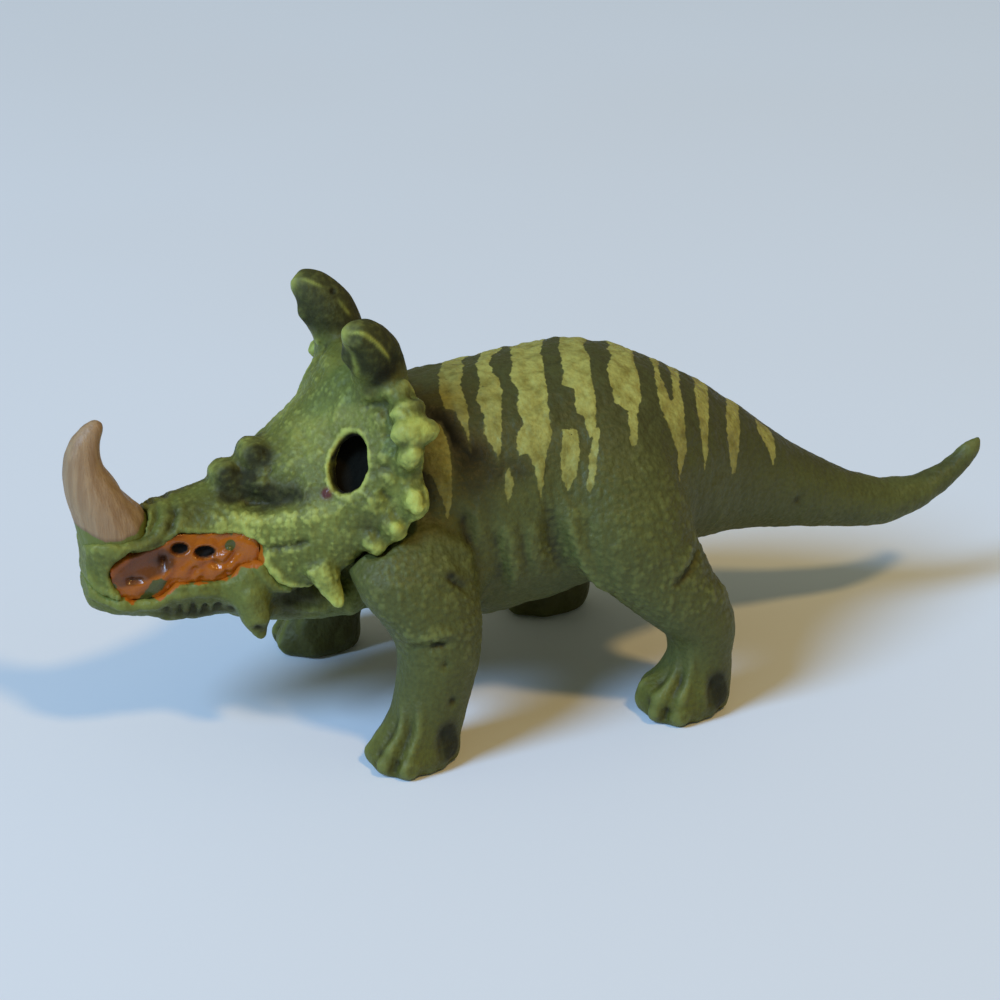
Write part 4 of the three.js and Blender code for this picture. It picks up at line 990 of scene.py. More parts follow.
class Surface:
    """A mesh's points in millimetres while its surface is worked."""

    def __init__(self, piece):
        self.mesh = piece.data
        self.edges = np.empty(len(self.mesh.edges) * 2, np.int32)
        self.mesh.edges.foreach_get("vertices", self.edges)
        self.edges = self.edges.reshape(-1, 2)
        self.count = len(self.mesh.vertices)
        self.load()

    def load(self):
        flat = np.empty(self.count * 3)
        self.mesh.vertices.foreach_get("co", flat)
        self.points = flat.reshape(-1, 3) / MM
        self.mesh.vertices.foreach_get("normal", flat)
        self.normals = flat.reshape(-1, 3).copy()
        self.left = mirrored(self.points)

    def store(self):
        self.mesh.vertices.foreach_set("co", (self.points * MM).ravel())
        self.mesh.update()
        self.load()

    def raise_by(self, height):
        """Moves every point along its normal by a height in millimetres."""
        self.points = self.points + self.normals * height[:, None]
        self.store()

    def averaged(self, values, rounds, weight=1.0):
        """Values passed between neighbouring points a number of times."""
        neighbours = np.bincount(self.edges.ravel(), minlength=self.count)
        ends = self.edges.T
        columns = values.reshape(self.count, -1).copy()
        share = np.broadcast_to(weight, self.count)[:, None]
        for _ in range(rounds):
            total = np.stack([
                np.bincount(ends[0], column[ends[1]], self.count)
                + np.bincount(ends[1], column[ends[0]], self.count)
                for column in columns.T], axis=1)
            columns += share * (total / neighbours[:, None] - columns)
        return columns.reshape(values.shape)

    def relax(self, rounds, weight=1.0):
        self.points = self.averaged(self.points, rounds, weight)
        self.store()

    def round_off(self, rounds, weight=0.5):
        """Rounds the solids' flat faces and edges, and gives back the bulk that this takes."""
        soft = self.averaged(self.points, rounds, weight)
        lost = self.averaged(self.points - soft, rounds, weight)
        self.points = soft + lost
        self.store()

    def strokes(self, table):
        """Height of a table of strokes and creases at each point."""
        height = np.zeros(self.count)
        for line, width, rise in table:
            low = np.min(line, axis=0) - STROKE_REACH * width
            high = np.max(line, axis=0) + STROKE_REACH * width
            near = ((self.left > low) & (self.left < high)).all(1)
            if not near.any():
                continue
            distance, along = line_distance(self.left[near], line)
            taper = smooth_share(np.minimum(along, 1 - along), *STROKE_TAPER)
            height[near] += rise * taper * np.exp(-(distance / width) ** 2)
        return height

    def lumps(self, table):
        """Height or strength of a table of round marks at each point."""
        height = np.zeros(self.count)
        for centre, radius, rise in table:
            distance = np.linalg.norm(self.left - centre, axis=1)
            height += rise * np.exp(-(distance / radius) ** 2)
        return height

    def feet(self, table):
        """Height or strength of one foot's round marks, set at the front and the hind foot."""
        return sum(self.lumps(moved(table, foot)) for foot in FEET)

    def pull(self, table):
        """Drags the surface near each place along a vector, alike on both sides."""
        shift = np.zeros((self.count, 3))
        for place, radius, way in table:
            distance = np.linalg.norm(self.left - place, axis=1)
            shift += np.exp(-(distance / radius) ** 2)[:, None] * way
        shift[:, 1] *= np.where(self.points[:, 1] > 0, -1, 1)
        self.points = self.points + shift
        self.store()

    def close_gaps(self, table):
        """Height that closes the thin gaps to the solids beside this piece."""
        height = np.zeros(self.count)
        for node, reach, rise in table:
            apart = distances_to(node, self)
            height += rise * (1 - smooth_share(apart, GAP_FULL * reach, reach))
        return height

    def ring_reach(self, ring):
        """Distance from a ring's axis as a share of its radii."""
        middle, facing, across, up = ring[:4]
        facing = np.array(facing) / np.linalg.norm(facing)
        side = np.cross((0, 0, 1), facing)
        side /= np.linalg.norm(side)
        apart = self.left - middle
        return np.hypot(apart @ side / across, apart @ np.cross(facing, side) / up)

    def rings(self, table):
        """Height of thin raised rims round openings and pits."""
        height = np.zeros(self.count)
        for ring in table:
            middle, facing, _, _, width, rise = ring
            front = (self.left - middle) @ np.array(facing) / np.linalg.norm(facing)
            height += rise * smooth_share(front, *RING_FRONT) * np.exp(
                -((self.ring_reach(ring) - 1) / width) ** 2)
        return height

    def tag(self, name, values):
        """Keeps a value for each point, where the paints can read it."""
        attribute = self.mesh.attributes.new(name, "FLOAT", "POINT")
        attribute.data.foreach_set("value", values.astype(np.float32))

    def tag_hollows(self):
        """Tags how far each point lies below the smoothed surface, fine and deep."""
        for name, rounds, depth in HOLLOWS:
            soft = self.averaged(self.points, rounds)
            below = ((soft - self.points) * self.normals).sum(1)
            self.tag(name, np.clip(below / depth, -HOLLOW_MOST, HOLLOW_MOST))


def distances_to(node, surface):
    """Distance from each of a surface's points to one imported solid."""
    mesh = NODES[node].data
    corners = [v.co for v in mesh.vertices]
    tree = BVHTree.FromPolygons(corners, [p.vertices for p in mesh.polygons])
    return np.array([tree.find_nearest(Vector(p))[3] for p in surface.points * MM]) / MM


def shaped_blank(nodes, name, voxel, swell, rounds):
    """Solids swollen until they meet, made one skin, shrunk back and rounded off."""
    piece = solid_copy(nodes, name)
    if swell:
        finish_modifier(piece, "DISPLACE", strength=swell, mid_level=0)
    finish_modifier(piece, "REMESH", mode="VOXEL", voxel_size=voxel, use_smooth_shade=True)
    keep_largest_shell(piece)
    surface = Surface(piece)
    if swell:
        surface.raise_by(np.full(surface.count, -swell / MM))
    surface.round_off(rounds)
    return piece


def divide_once(piece):
    finish_modifier(piece, "SUBSURF", levels=1, render_levels=1)


def keep_in_box(surface, nodes):
    """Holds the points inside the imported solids' own box, so that no size changes."""
    corners = [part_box(node) for node in nodes]
    low = np.min([c[0] for c in corners], axis=0) / MM
    high = np.max([c[1] for c in corners], axis=0) / MM
    surface.points = np.clip(surface.points, low, high)
    surface.store()


def spine_places(points):
    """Place along the figure and arc down from the spine, for the stripes."""
    axis = SPINE_AXIS_HEIGHT - SPINE_AXIS_FALL * np.maximum(0, points[:, 0] - SPINE_FALL_START)
    arc = np.arctan2(np.abs(points[:, 1]), points[:, 2] - axis) * STRIPE_ARC_RADIUS
    slant = np.where(points[:, 1] > 0, STRIPE_SLANT * np.minimum(arc, STRIPE_SLANT_END), 0)
    return np.stack([points[:, 0] - slant, arc], axis=1)


def stripe_depth(points):
    places = spine_places(points)
    return np.max([outline_depth(places, outline) for outline in STRIPE_OUTLINES], axis=0)


def close_rim(work):
    """Turns the open rims of a cut skin inward and closes each to its middle."""
    rim = [e for e in work.edges if e.is_boundary]
    for edge in rim:
        edge.smooth = False
    grown = bmesh.ops.extrude_edge_only(work, edges=rim)["geom"]
    loops = rim_loops([g for g in grown if isinstance(g, bmesh.types.BMEdge)])
    for loop in loops:
        middle = sum((v.co for v in loop), Vector()) / len(loop)
        for vert in loop:
            vert.co += (middle - vert.co).normalized() * RIM_DEPTH
    for loop in loops:
        middle = sum((v.co for v in loop), Vector()) / len(loop)
        centre = work.verts.new(middle)
        for here, after in zip(loop, loop[1:] + loop[:1]):
            work.faces.new((here, after, centre))


def rim_loops(edges):
    """The loops of points that a set of open edges makes."""
    ahead = {}
    for edge in edges:
        if not edge.is_boundary:
            continue
        for here, there in (edge.verts, reversed(edge.verts)):
            ahead.setdefault(here, []).append(there)
    loops = []
    unused = dict.fromkeys(ahead)
    while unused:
        here = next(iter(unused))
        loop = []
        while here:
            del unused[here]
            loop.append(here)
            here = next((v for v in ahead[here] if v in unused), None)
        if len(loop) > 2:
            loops.append(loop)
    return loops


def cut_from_blank(blank, labels, label, name):
    """The part of the shared skin that belongs to one solid, closed on the inside."""
    work = bmesh.new()
    work.from_mesh(blank.data)
    others = [f for f, own in zip(work.faces, labels) if own != label]
    bmesh.ops.delete(work, geom=others, context="FACES")
    close_rim(work)
    bmesh.ops.recalc_face_normals(work, faces=work.faces)
    return object_from(work, name)


def hand_over(piece, node, material):
    """Gives a finished piece its material, and lets it stand for its solid."""
    piece.data.materials.clear()
    piece.data.materials.append(material)
    for polygon in piece.data.polygons:
        polygon.use_smooth = True
    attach(piece, BODY)
    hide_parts(node)


# Shader nodes

def put(tree, kind, values=None, **settings):
    """Adds a node, sets it, and fills its inputs with numbers or links."""
    node = tree.nodes.new(kind)
    for name, value in settings.items():
        setattr(node, name, value)
    for name, value in (values or {}).items():
        socket = node.inputs[name]
        if isinstance(value, bpy.types.NodeSocket):
            tree.links.new(value, socket)
        else:
            socket.default_value = value
    return node


def paint(value):
    return (*value, 1) if not isinstance(value, bpy.types.NodeSocket) else value


def mixed(tree, share, first, second):
    node = put(tree, "ShaderNodeMix", {0: share, 6: paint(first), 7: paint(second)},
               data_type="RGBA")
    return node.outputs[2]


def calc(tree, operation, first, second, clamp=False):
    node = put(tree, "ShaderNodeMath", {0: first, 1: second}, operation=operation,
               use_clamp=clamp)
    return node.outputs[0]


def ramped(tree, value, low, high, start=0.0, end=1.0):
    """Value between low and high turned smoothly into start to end."""
    node = put(tree, "ShaderNodeMapRange", {0: value, 1: low, 2: high, 3: start, 4: end},
               interpolation_type="SMOOTHSTEP")
    return node.outputs[0]


def noise(tree, vector, scale, detail):
    node = put(tree, "ShaderNodeTexNoise", {"Vector": vector, "Scale": scale, "Detail": detail})
    return node.outputs["Fac"]


def patchy(tree, vector, scale, detail, low, high, start=0.0, end=1.0):
    """Noise turned into soft patches from start to end."""
    return ramped(tree, noise(tree, vector, scale, detail), low, high, start, end)


def tagged(tree, name):
    return put(tree, "ShaderNodeAttribute", attribute_name=name).outputs["Fac"]


def stretched(tree, vector, factors):
    node = put(tree, "ShaderNodeVectorMath", {0: vector, 1: factors}, operation="MULTIPLY")
    return node.outputs[0]


def millimetres(tree):
    """Object coordinates in millimetres."""
    place = put(tree, "ShaderNodeTexCoord").outputs["Object"]
    return stretched(tree, place, (1 / MM, 1 / MM, 1 / MM))


def new_group(name, inputs, outputs):
    group = bpy.data.node_groups.new(name, "ShaderNodeTree")
    for label, kind in inputs:
        group.interface.new_socket(label, in_out="INPUT", socket_type="NodeSocket" + kind)
    for label, kind in outputs:
        group.interface.new_socket(label, in_out="OUTPUT", socket_type="NodeSocket" + kind)
    enter = group.nodes.new("NodeGroupInput").outputs
    leave = group.nodes.new("NodeGroupOutput").inputs
    return group, enter, leave


def vinyl_grain(name):
    """Fine pebbles, pores and wrinkles of moulded vinyl skin, as a height."""
    group, enter, leave = new_group(
        name, [("Vector", "Vector"), ("Pitch", "Float")], [("Height", "Float")])
    scale = calc(group, "DIVIDE", 1.0, enter["Pitch"])
    cells = put(group, "ShaderNodeTexVoronoi", {"Vector": enter["Vector"], "Scale": scale},
                feature="SMOOTH_F1").outputs["Distance"]
    domes = calc(group, "MULTIPLY", calc(group, "SUBTRACT", 1.0, cells), GRAIN_DOME_PART)
    pores = calc(group, "MULTIPLY", noise(group, enter["Vector"], *GRAIN_PORES), GRAIN_PORE_PART)
    folds = noise(group, stretched(group, enter["Vector"], GRAIN_DRAWN), *GRAIN_FOLDS)
    folds = calc(group, "MULTIPLY", folds, GRAIN_FOLD_PART)
    height = calc(group, "ADD", calc(group, "ADD", domes, pores), folds)
    group.links.new(height, leave["Height"])
    return group


def worn_paint_and_shade(name):
    """Dark wash and painted shade in the hollows, and light paint rubbed over the high places."""
    group, enter, leave = new_group(
        name,
        [("Base", "Color"), ("Dark", "Color"), ("Light", "Color"), ("Vector", "Vector"),
         ("Fine", "Float"), ("Deep", "Float"), ("Wash_and_shade", "Float"), ("Rub", "Float")],
        [("Color", "Color"), ("Roughness", "Float")])
    blotch = noise(group, enter["Vector"], *WEAR_AND_SHADE_BLOTCHES)
    specks = noise(group, enter["Vector"], *WORN_SPECKS)
    hollow = calc(group, "ADD", calc(group, "MULTIPLY", enter["Fine"], FINE_PART),
                  calc(group, "MULTIPLY", enter["Deep"], DEEP_PART))
    uneven = calc(group, "MULTIPLY", calc(group, "SUBTRACT", blotch, 0.5), BLOTCH_PART)
    low = ramped(group, calc(group, "ADD", hollow, uneven), *WASH_AND_SHADE_RANGE)
    high = ramped(group, calc(group, "SUBTRACT", uneven, hollow), *RUB_RANGE)
    toned = mixed(group, ramped(group, specks, *SPECK_TONE), enter["Base"],
                  mixed(group, 0.5, enter["Base"], enter["Dark"]))
    # Dark wash and painted shade in the hollows
    washed_and_shaded = mixed(group, calc(group, "MULTIPLY", low, enter["Wash_and_shade"]), toned, enter["Dark"])
    rubbed = mixed(group, calc(group, "MULTIPLY", high, enter["Rub"]), washed_and_shaded, enter["Light"])
    group.links.new(rubbed, leave["Color"])
    group.links.new(ramped(group, specks, *WORN_ROUGHNESS), leave["Roughness"])
    return group


def use_group(tree, build, values):
    """Places a node group in a tree, and builds it first where it isn't there yet."""
    name = build.__name__
    group = bpy.data.node_groups.get(name) or build(name)
    return put(tree, "ShaderNodeGroup", values, node_tree=group).outputs


def new_material(name):
    material = bpy.data.materials.new(name)
    material.use_nodes = True
    tree = material.node_tree
    tree.nodes.clear()
    shader = tree.nodes.new("ShaderNodeBsdfPrincipled")
    leave = tree.nodes.new("ShaderNodeOutputMaterial")
    tree.links.new(shader.outputs[0], leave.inputs[0])
    return material, tree, shader


def bumped(tree, shader, height, distance):
    bump = put(tree, "ShaderNodeBump", {"Height": height, "Distance": distance, "Strength": 1.0})
    tree.links.new(bump.outputs[0], shader.inputs["Normal"])


def ragged_edge(name):
    """Depth inside a painted outline, made uneven so that the paint's edge is ragged."""
    group, enter, leave = new_group(
        name,
        [("Depth", "Float"), ("Vector", "Vector"), ("Scale", "Float"), ("Detail", "Float"),
         ("Unevenness", "Float")],
        [("Depth", "Float")])
    uneven = noise(group, enter["Vector"], enter["Scale"], enter["Detail"])
    uneven = calc(group, "MULTIPLY", calc(group, "SUBTRACT", uneven, 0.5), enter["Unevenness"])
    group.links.new(calc(group, "ADD", enter["Depth"], uneven), leave["Depth"])
    return group


def ragged(tree, mask, place, scale, detail, unevenness):
    return use_group(tree, ragged_edge, {
        "Depth": tagged(tree, mask), "Vector": place, "Scale": scale, "Detail": detail,
        "Unevenness": unevenness})["Depth"]


def back_and_stripes(tree, place, under, settings):
    """Yellower toes, the dark back and the sprayed stripes over the flank's green."""
    toes = calc(tree, "MULTIPLY", tagged(tree, "toes"), TOE_SHARE)
    under = mixed(tree, toes, under, settings.toe_green)
    back = calc(tree, "MULTIPLY", tagged(tree, "back"), patchy(tree, place, *BACK_PATCHES))
    under = mixed(tree, back, under, settings.skin_back)
    cover = ramped(tree, ragged(tree, "stripe", place, *STRIPE_EDGE), *STRIPE_COVER)
    holes = patchy(tree, place, *STRIPE_HOLES)
    patch = mixed(tree, patchy(tree, place, *STRIPE_PATCHES), settings.stripe_yellow,
                  settings.stripe_brown)
    patch = mixed(tree, tagged(tree, "dull"), patch, settings.skin_back)
    return mixed(tree, calc(tree, "MULTIPLY", cover, holes), under, patch)


def brushed_over(tree, place, under, settings):
    """Dark paint and painted shade, the hooks' parting lines, the orange spill, the small eye, and
    painted deep shade.
    """
    # Dark paint, with painted shade, brushed over
    thick = calc(tree, "MULTIPLY", tagged(tree, "stain_and_shade"), patchy(tree, place, *STAIN_AND_SHADE_BREAKS))
    stain_and_shade_colour = mixed(tree, ramped(tree, thick, *STAIN_AND_SHADE_THICK), settings.knob_brown,
                  settings.head_wash_and_shade)
    shade = mixed(tree, thick, under, stain_and_shade_colour)
    shade = mixed(tree, tagged(tree, "parting"), shade, settings.bump_lime)
    orange = ramped(tree, ragged(tree, "orange", place, *ORANGE_EDGE), *ORANGE_COVER)
    shade = mixed(tree, orange, shade, settings.mouth_orange)
    shade = mixed(tree, tagged(tree, "speck"), shade, EYE_WINE)
    return mixed(tree, tagged(tree, "shade"), shade, DEEP_SHADE)


# The wash is how strong the dark wash and its painted shade in the hollows are
def green_vinyl(name, settings, base, light, dark, wash, rub, striped):
    """Painted soft vinyl: base green, dark back, stripes, wash and painted shade in the hollows,
    rubbed highlights, and dark paint with painted shade brushed over.
    """
    material, tree, shader = new_material(name)
    place = millimetres(tree)
    under = mixed(tree, patchy(tree, place, *GREEN_PATCHES), base,
                  mixed(tree, 0.5, base, settings.leg_green))
    if striped:
        under = back_and_stripes(tree, place, under, settings)
    else:
        under = mixed(tree, tagged(tree, "lime"), under, settings.bump_lime)
        under = mixed(tree, tagged(tree, "pale"), under, light)
    faint = patchy(tree, place, *(SKIN_DOTS if striped else HEAD_DOTS))
    dots = calc(tree, "MULTIPLY", ramped(tree, tagged(tree, "pebble"), *DOT_TOPS), faint)
    under = mixed(tree, dots, under, light)
    worn_and_shaded = use_group(tree, worn_paint_and_shade, {
        "Base": under, "Dark": paint(dark), "Light": paint(light), "Vector": place,
        "Fine": tagged(tree, "fine_hollow"), "Deep": tagged(tree, "deep_hollow"),
        "Wash_and_shade": wash, "Rub": calc(tree, "MULTIPLY", tagged(tree, "rub"), rub)})
    tree.links.new(brushed_over(tree, place, worn_and_shaded["Color"], settings),
                   shader.inputs["Base Color"])
    dull = calc(tree, "MULTIPLY", tagged(tree, "stain_and_shade"), STAIN_AND_SHADE_ROUGHNESS)
    dull = calc(tree, "MAXIMUM", tagged(tree, "shade"), dull)
    rough = calc(tree, "MAXIMUM", worn_and_shaded["Roughness"], dull)
    wet = calc(tree, "MULTIPLY", tagged(tree, "speck"), EYE_GLOSS)
    tree.links.new(calc(tree, "SUBTRACT", rough, wet), shader.inputs["Roughness"])
    shader.inputs["Specular IOR Level"].default_value = GREEN_SPECULAR
    grain = use_group(tree, vinyl_grain, {"Vector": place, "Pitch": GRAIN_PITCH})
    bumped(tree, shader, grain["Height"], GRAIN_HEIGHT)
    return material


def horn_vinyl(settings):
    """Tan vinyl with lengthwise streaks, brown where it meets its green foot."""
    material, tree, shader = new_material("horn_vinyl")
    place = millimetres(tree)
    drawn = stretched(tree, place, HORN_DRAWN)
    streak = noise(tree, drawn, *HORN_STREAKS)
    fine = noise(tree, drawn, *HORN_HAIRS)
    shade = mixed(tree, ramped(tree, streak, *HORN_PALE_STREAKS), settings.horn_tan,
                  settings.horn_pale)
    shade = mixed(tree, ramped(tree, fine, *HORN_BROWN_HAIRS), shade, settings.horn_brown)
    # Brown painted shade in the horn's deep hollows
    stain_and_shade = calc(tree, "MULTIPLY", tagged(tree, "deep_hollow"), HORN_HOLLOW_SHADE, clamp=True)
    shade = mixed(tree, stain_and_shade, shade, settings.horn_brown)
    foot = ragged(tree, "foot", place, *FOOT_EDGE)
    shade = mixed(tree, ramped(tree, foot, *HORN_FOOT_BROWN), shade, settings.horn_brown)
    shade = mixed(tree, ramped(tree, foot, *HORN_FOOT_GREEN), shade, settings.head_green)
    tree.links.new(shade, shader.inputs["Base Color"])
    tree.links.new(ramped(tree, fine, *HORN_ROUGHNESS), shader.inputs["Roughness"])
    shader.inputs["Specular IOR Level"].default_value = HORN_SPECULAR
    bumped(tree, shader, calc(tree, "ADD", streak, fine), HORN_GRAIN_HEIGHT)
    return material


def mouth_vinyl(settings):
    """Glossy orange with a brown red part in the beak, partly painted shade, green at its ragged
    edge, and near black painted shade in its pits and folds.
    """
    material, tree, shader = new_material("mouth_gloss")
    place = millimetres(tree)
    mottle = noise(tree, place, *MOUTH_MOTTLE)
    shade = mixed(tree, ramped(tree, mottle, *MOUTH_BROWN_PATCHES), settings.mouth_orange,
                  settings.mouth_brown_and_shade)
    # Brown red, partly painted shade, in the beak's sunk part and folds
    shade = mixed(tree, tagged(tree, "brown"), shade, settings.mouth_brown_and_shade)
    painted = ramped(tree, ragged(tree, "orange", place, *ORANGE_EDGE), *ORANGE_COVER)
    bare = mixed(tree, BARE_GREEN, settings.knob_brown, settings.head_green)
    shade = mixed(tree, painted, bare, shade)
    # Near black painted shade in the pits and dark folds
    shade = mixed(tree, tagged(tree, "pit"), shade, MOUTH_PIT_SHADE)
    tree.links.new(shade, shader.inputs["Base Color"])
    glossy = ramped(tree, mottle, *MOUTH_ROUGHNESS)
    tree.links.new(calc(tree, "MAXIMUM", glossy, tagged(tree, "pit")),
                   shader.inputs["Roughness"])
    shader.inputs["Specular IOR Level"].default_value = MOUTH_SPECULAR
    coat = ramped(tree, tagged(tree, "pit"), 0.0, 1.0, MOUTH_COAT, 0.0)
    tree.links.new(coat, shader.inputs["Coat Weight"])
    shader.inputs["Coat Roughness"].default_value = MOUTH_COAT_ROUGHNESS
    bumped(tree, shader, noise(tree, place, *MOUTH_RIPPLES), MOUTH_RIPPLE_HEIGHT)
    return material


# What is sprayed or rubbed on where

def tag_paint(surface):
    """Masks that the paints follow, from the finished surface."""
    surface.tag_hollows()
    x, y, z = surface.points.T
    arc = spine_places(surface.points)[:, 1]
    back = smooth_share(arc, *BACK_ARC) * (1 - TAIL_PALER * smooth_share(x, *TAIL_START))
    surface.tag("back", back * smooth_share(x, *NECK_FADE))
    stripe = stripe_depth(surface.points)
    surface.tag("stripe", stripe)
    surface.tag("dull", FRONT_DULL * smooth_share(x, *FRONT_STRIPES)
                + LOW_DULL * smooth_share(arc, *STRIPE_FEET))
    legs = smooth_share(z, *LEG_RUB) + surface.strokes([(THIGH_RIDGE, *THIGH_RUB)])
    rub = np.clip(between(TRUNK_RUB, legs), 0, RUB_MOST)
    surface.tag("rub", rub * (1 - JAW_LESS_RUB * smooth_share(x, *JAW_START)))
    surface.tag("orange", outline_depth(surface.points[:, (0, 2)], MOUTH_OUTLINE))
    surface.tag("toes", 1 - smooth_share(z, *TOE_RANGE))
    # Dark paint, most of it painted shade
    stains_and_shade = surface.lumps(SKIN_STAINS_AND_SHADE) + surface.feet(FOOT_GROOVE_SHADE)
    stains_and_shade *= 1 - STRIPES_KEPT * smooth_share(stripe, *STAINED_AND_SHADED_EDGE)
    # Painted shade low on the legs' inner sides
    inward = smooth_share(-surface.normals[:, 1] * np.sign(y), *INNER_TURN)
    stains_and_shade += INNER_LEG_SHADE * inward * (1 - smooth_share(z, *INNER_LEG_RANGE))
    surface.tag("stain_and_shade", np.clip(stains_and_shade, 0, SKIN_STAIN_AND_SHADE_MOST))
    # Nearly black painted shade, kept off the stripes, and painted shade behind the frill
    painted_shade = surface.lumps(SKIN_DEEP_SHADE) + surface.feet(FOOT_DEEP_SHADE)
    painted_shade *= 1 - smooth_share(stripe, *BLACKENED_EDGE)
    shade_behind_frill = smooth_share(x, *BEHIND_FRILL) * smooth_share(z, *BEHIND_FRILL_HEIGHT)
    surface.tag("shade", np.clip(shade_behind_frill + painted_shade, 0, 1))


class FIGURE_OT_skin(bpy.types.Operator):
    """Builds the skin over trunk, legs, tail and lower jaw, and cuts it into pieces"""
    bl_idname = "figure.skin"
    bl_label = "Trunk, legs, tail and lower jaw"

    def execute(self, context):
        settings = context.scene.toy_figure
        blank = shaped_blank(SKIN_NODES, "skin_blank", settings.skin_voxel, SKIN_SWELL, SKIN_ROUNDS)
        surface = Surface(blank)
        apart = np.stack([distances_to(node, surface) for node in SKIN_NODES], axis=1)
        seam = smooth_share(np.sort(apart, axis=1)[:, 1], *SEAM_REACH)
        surface.relax(SEAM_ROUNDS, SEAM_WEIGHT * seam)
        apart = surface.averaged(apart, LABEL_ROUNDS)
        for node, column in zip(SKIN_NODES, apart.T):
            surface.tag("near_" + node, column)
        divide_once(blank)
        surface = Surface(blank)
        self.work(surface, settings)
        keep_in_box(surface, SKIN_NODES)
        tag_paint(surface)
        labels = self.face_labels(blank)
        skin = green_vinyl("skin_vinyl", settings, settings.skin_green, settings.skin_light,
                           settings.skin_wash_and_shade, *SKIN_WEAR_AND_SHADE, True)
        jaw = green_vinyl("jaw_vinyl", settings, settings.head_green, settings.head_light,
                          settings.head_wash_and_shade, *JAW_WEAR_AND_SHADE, False)
        for label, node in enumerate(SKIN_NODES):
            piece = cut_from_blank(blank, labels, label, node + "_skin")
            if node == "lower_jaw":
                hand_over(piece, node, jaw)
            else:
                hand_over(piece, node, skin)
        bpy.data.objects.remove(blank)
        return {"FINISHED"}

    def work(self, surface, settings):
        """Folds, tendons, toes and pebbles."""
        height = surface.strokes(SKIN_STROKES) + surface.lumps(SKIN_LUMPS)
        height += surface.close_gaps(JAW_GAPS) * (surface.points[:, 0] < JAW_END)
        height += sum(surface.strokes(moved(FOOT_STROKES, foot)) for foot in FEET)
        surface.raise_by(height + surface.feet(FOOT_LUMPS))
        points = surface.points
        x, y, z = points.T
        legs = smooth_share(np.abs(y), *LEG_SIDE)
        folds = TAIL_FOLDS + TRUNK_FOLDS * (1 - smooth_share(x, *TRUNK_END))
        wave = folds * billows(points * FOLDS_DRAWN, *FOLD_NOISE)
        wave += SWELLING_HEIGHT * cloud(points, *SWELLING_NOISE)
        wave += WRINKLE_HEIGHT * cloud(points * WRINKLES_DRAWN, *WRINKLE_NOISE)
        lumpy = smooth_share(stripe_depth(points), *THICK_PAINT)
        lumpy *= 1 - smooth_share(x, *LUMPY_END)
        wave += lumpy * (LUMPY_PAINT + LUMPY_HEIGHT * cloud(points, *LUMPY_NOISE))
        share = between(TRUNK_PEBBLES, legs) * between(LOW_PEBBLES, smooth_share(z, *UPPER_LEG))
        grown = share * pebbles(points, settings.pebble_pitch / MM, SKIN_PEBBLE_SEED)
        wave *= 1 - LEG_CALM * legs
        surface.raise_by((wave + settings.pebble_height / MM * grown) * smooth_share(z, *SOLE))
        surface.tag("pebble", grown)

    def face_labels(self, blank):
        """For each face, which solid is nearest to it."""
        mesh = blank.data
        nearest = np.empty((len(SKIN_NODES), len(mesh.vertices)), np.float32)
        for node, column in zip(SKIN_NODES, nearest):
            mesh.attributes["near_" + node].data.foreach_get("value", column)
        corners = np.array([p.vertices[:] for p in mesh.polygons])
        return np.ascontiguousarray(nearest.T)[corners].mean(axis=1).argmin(axis=1)


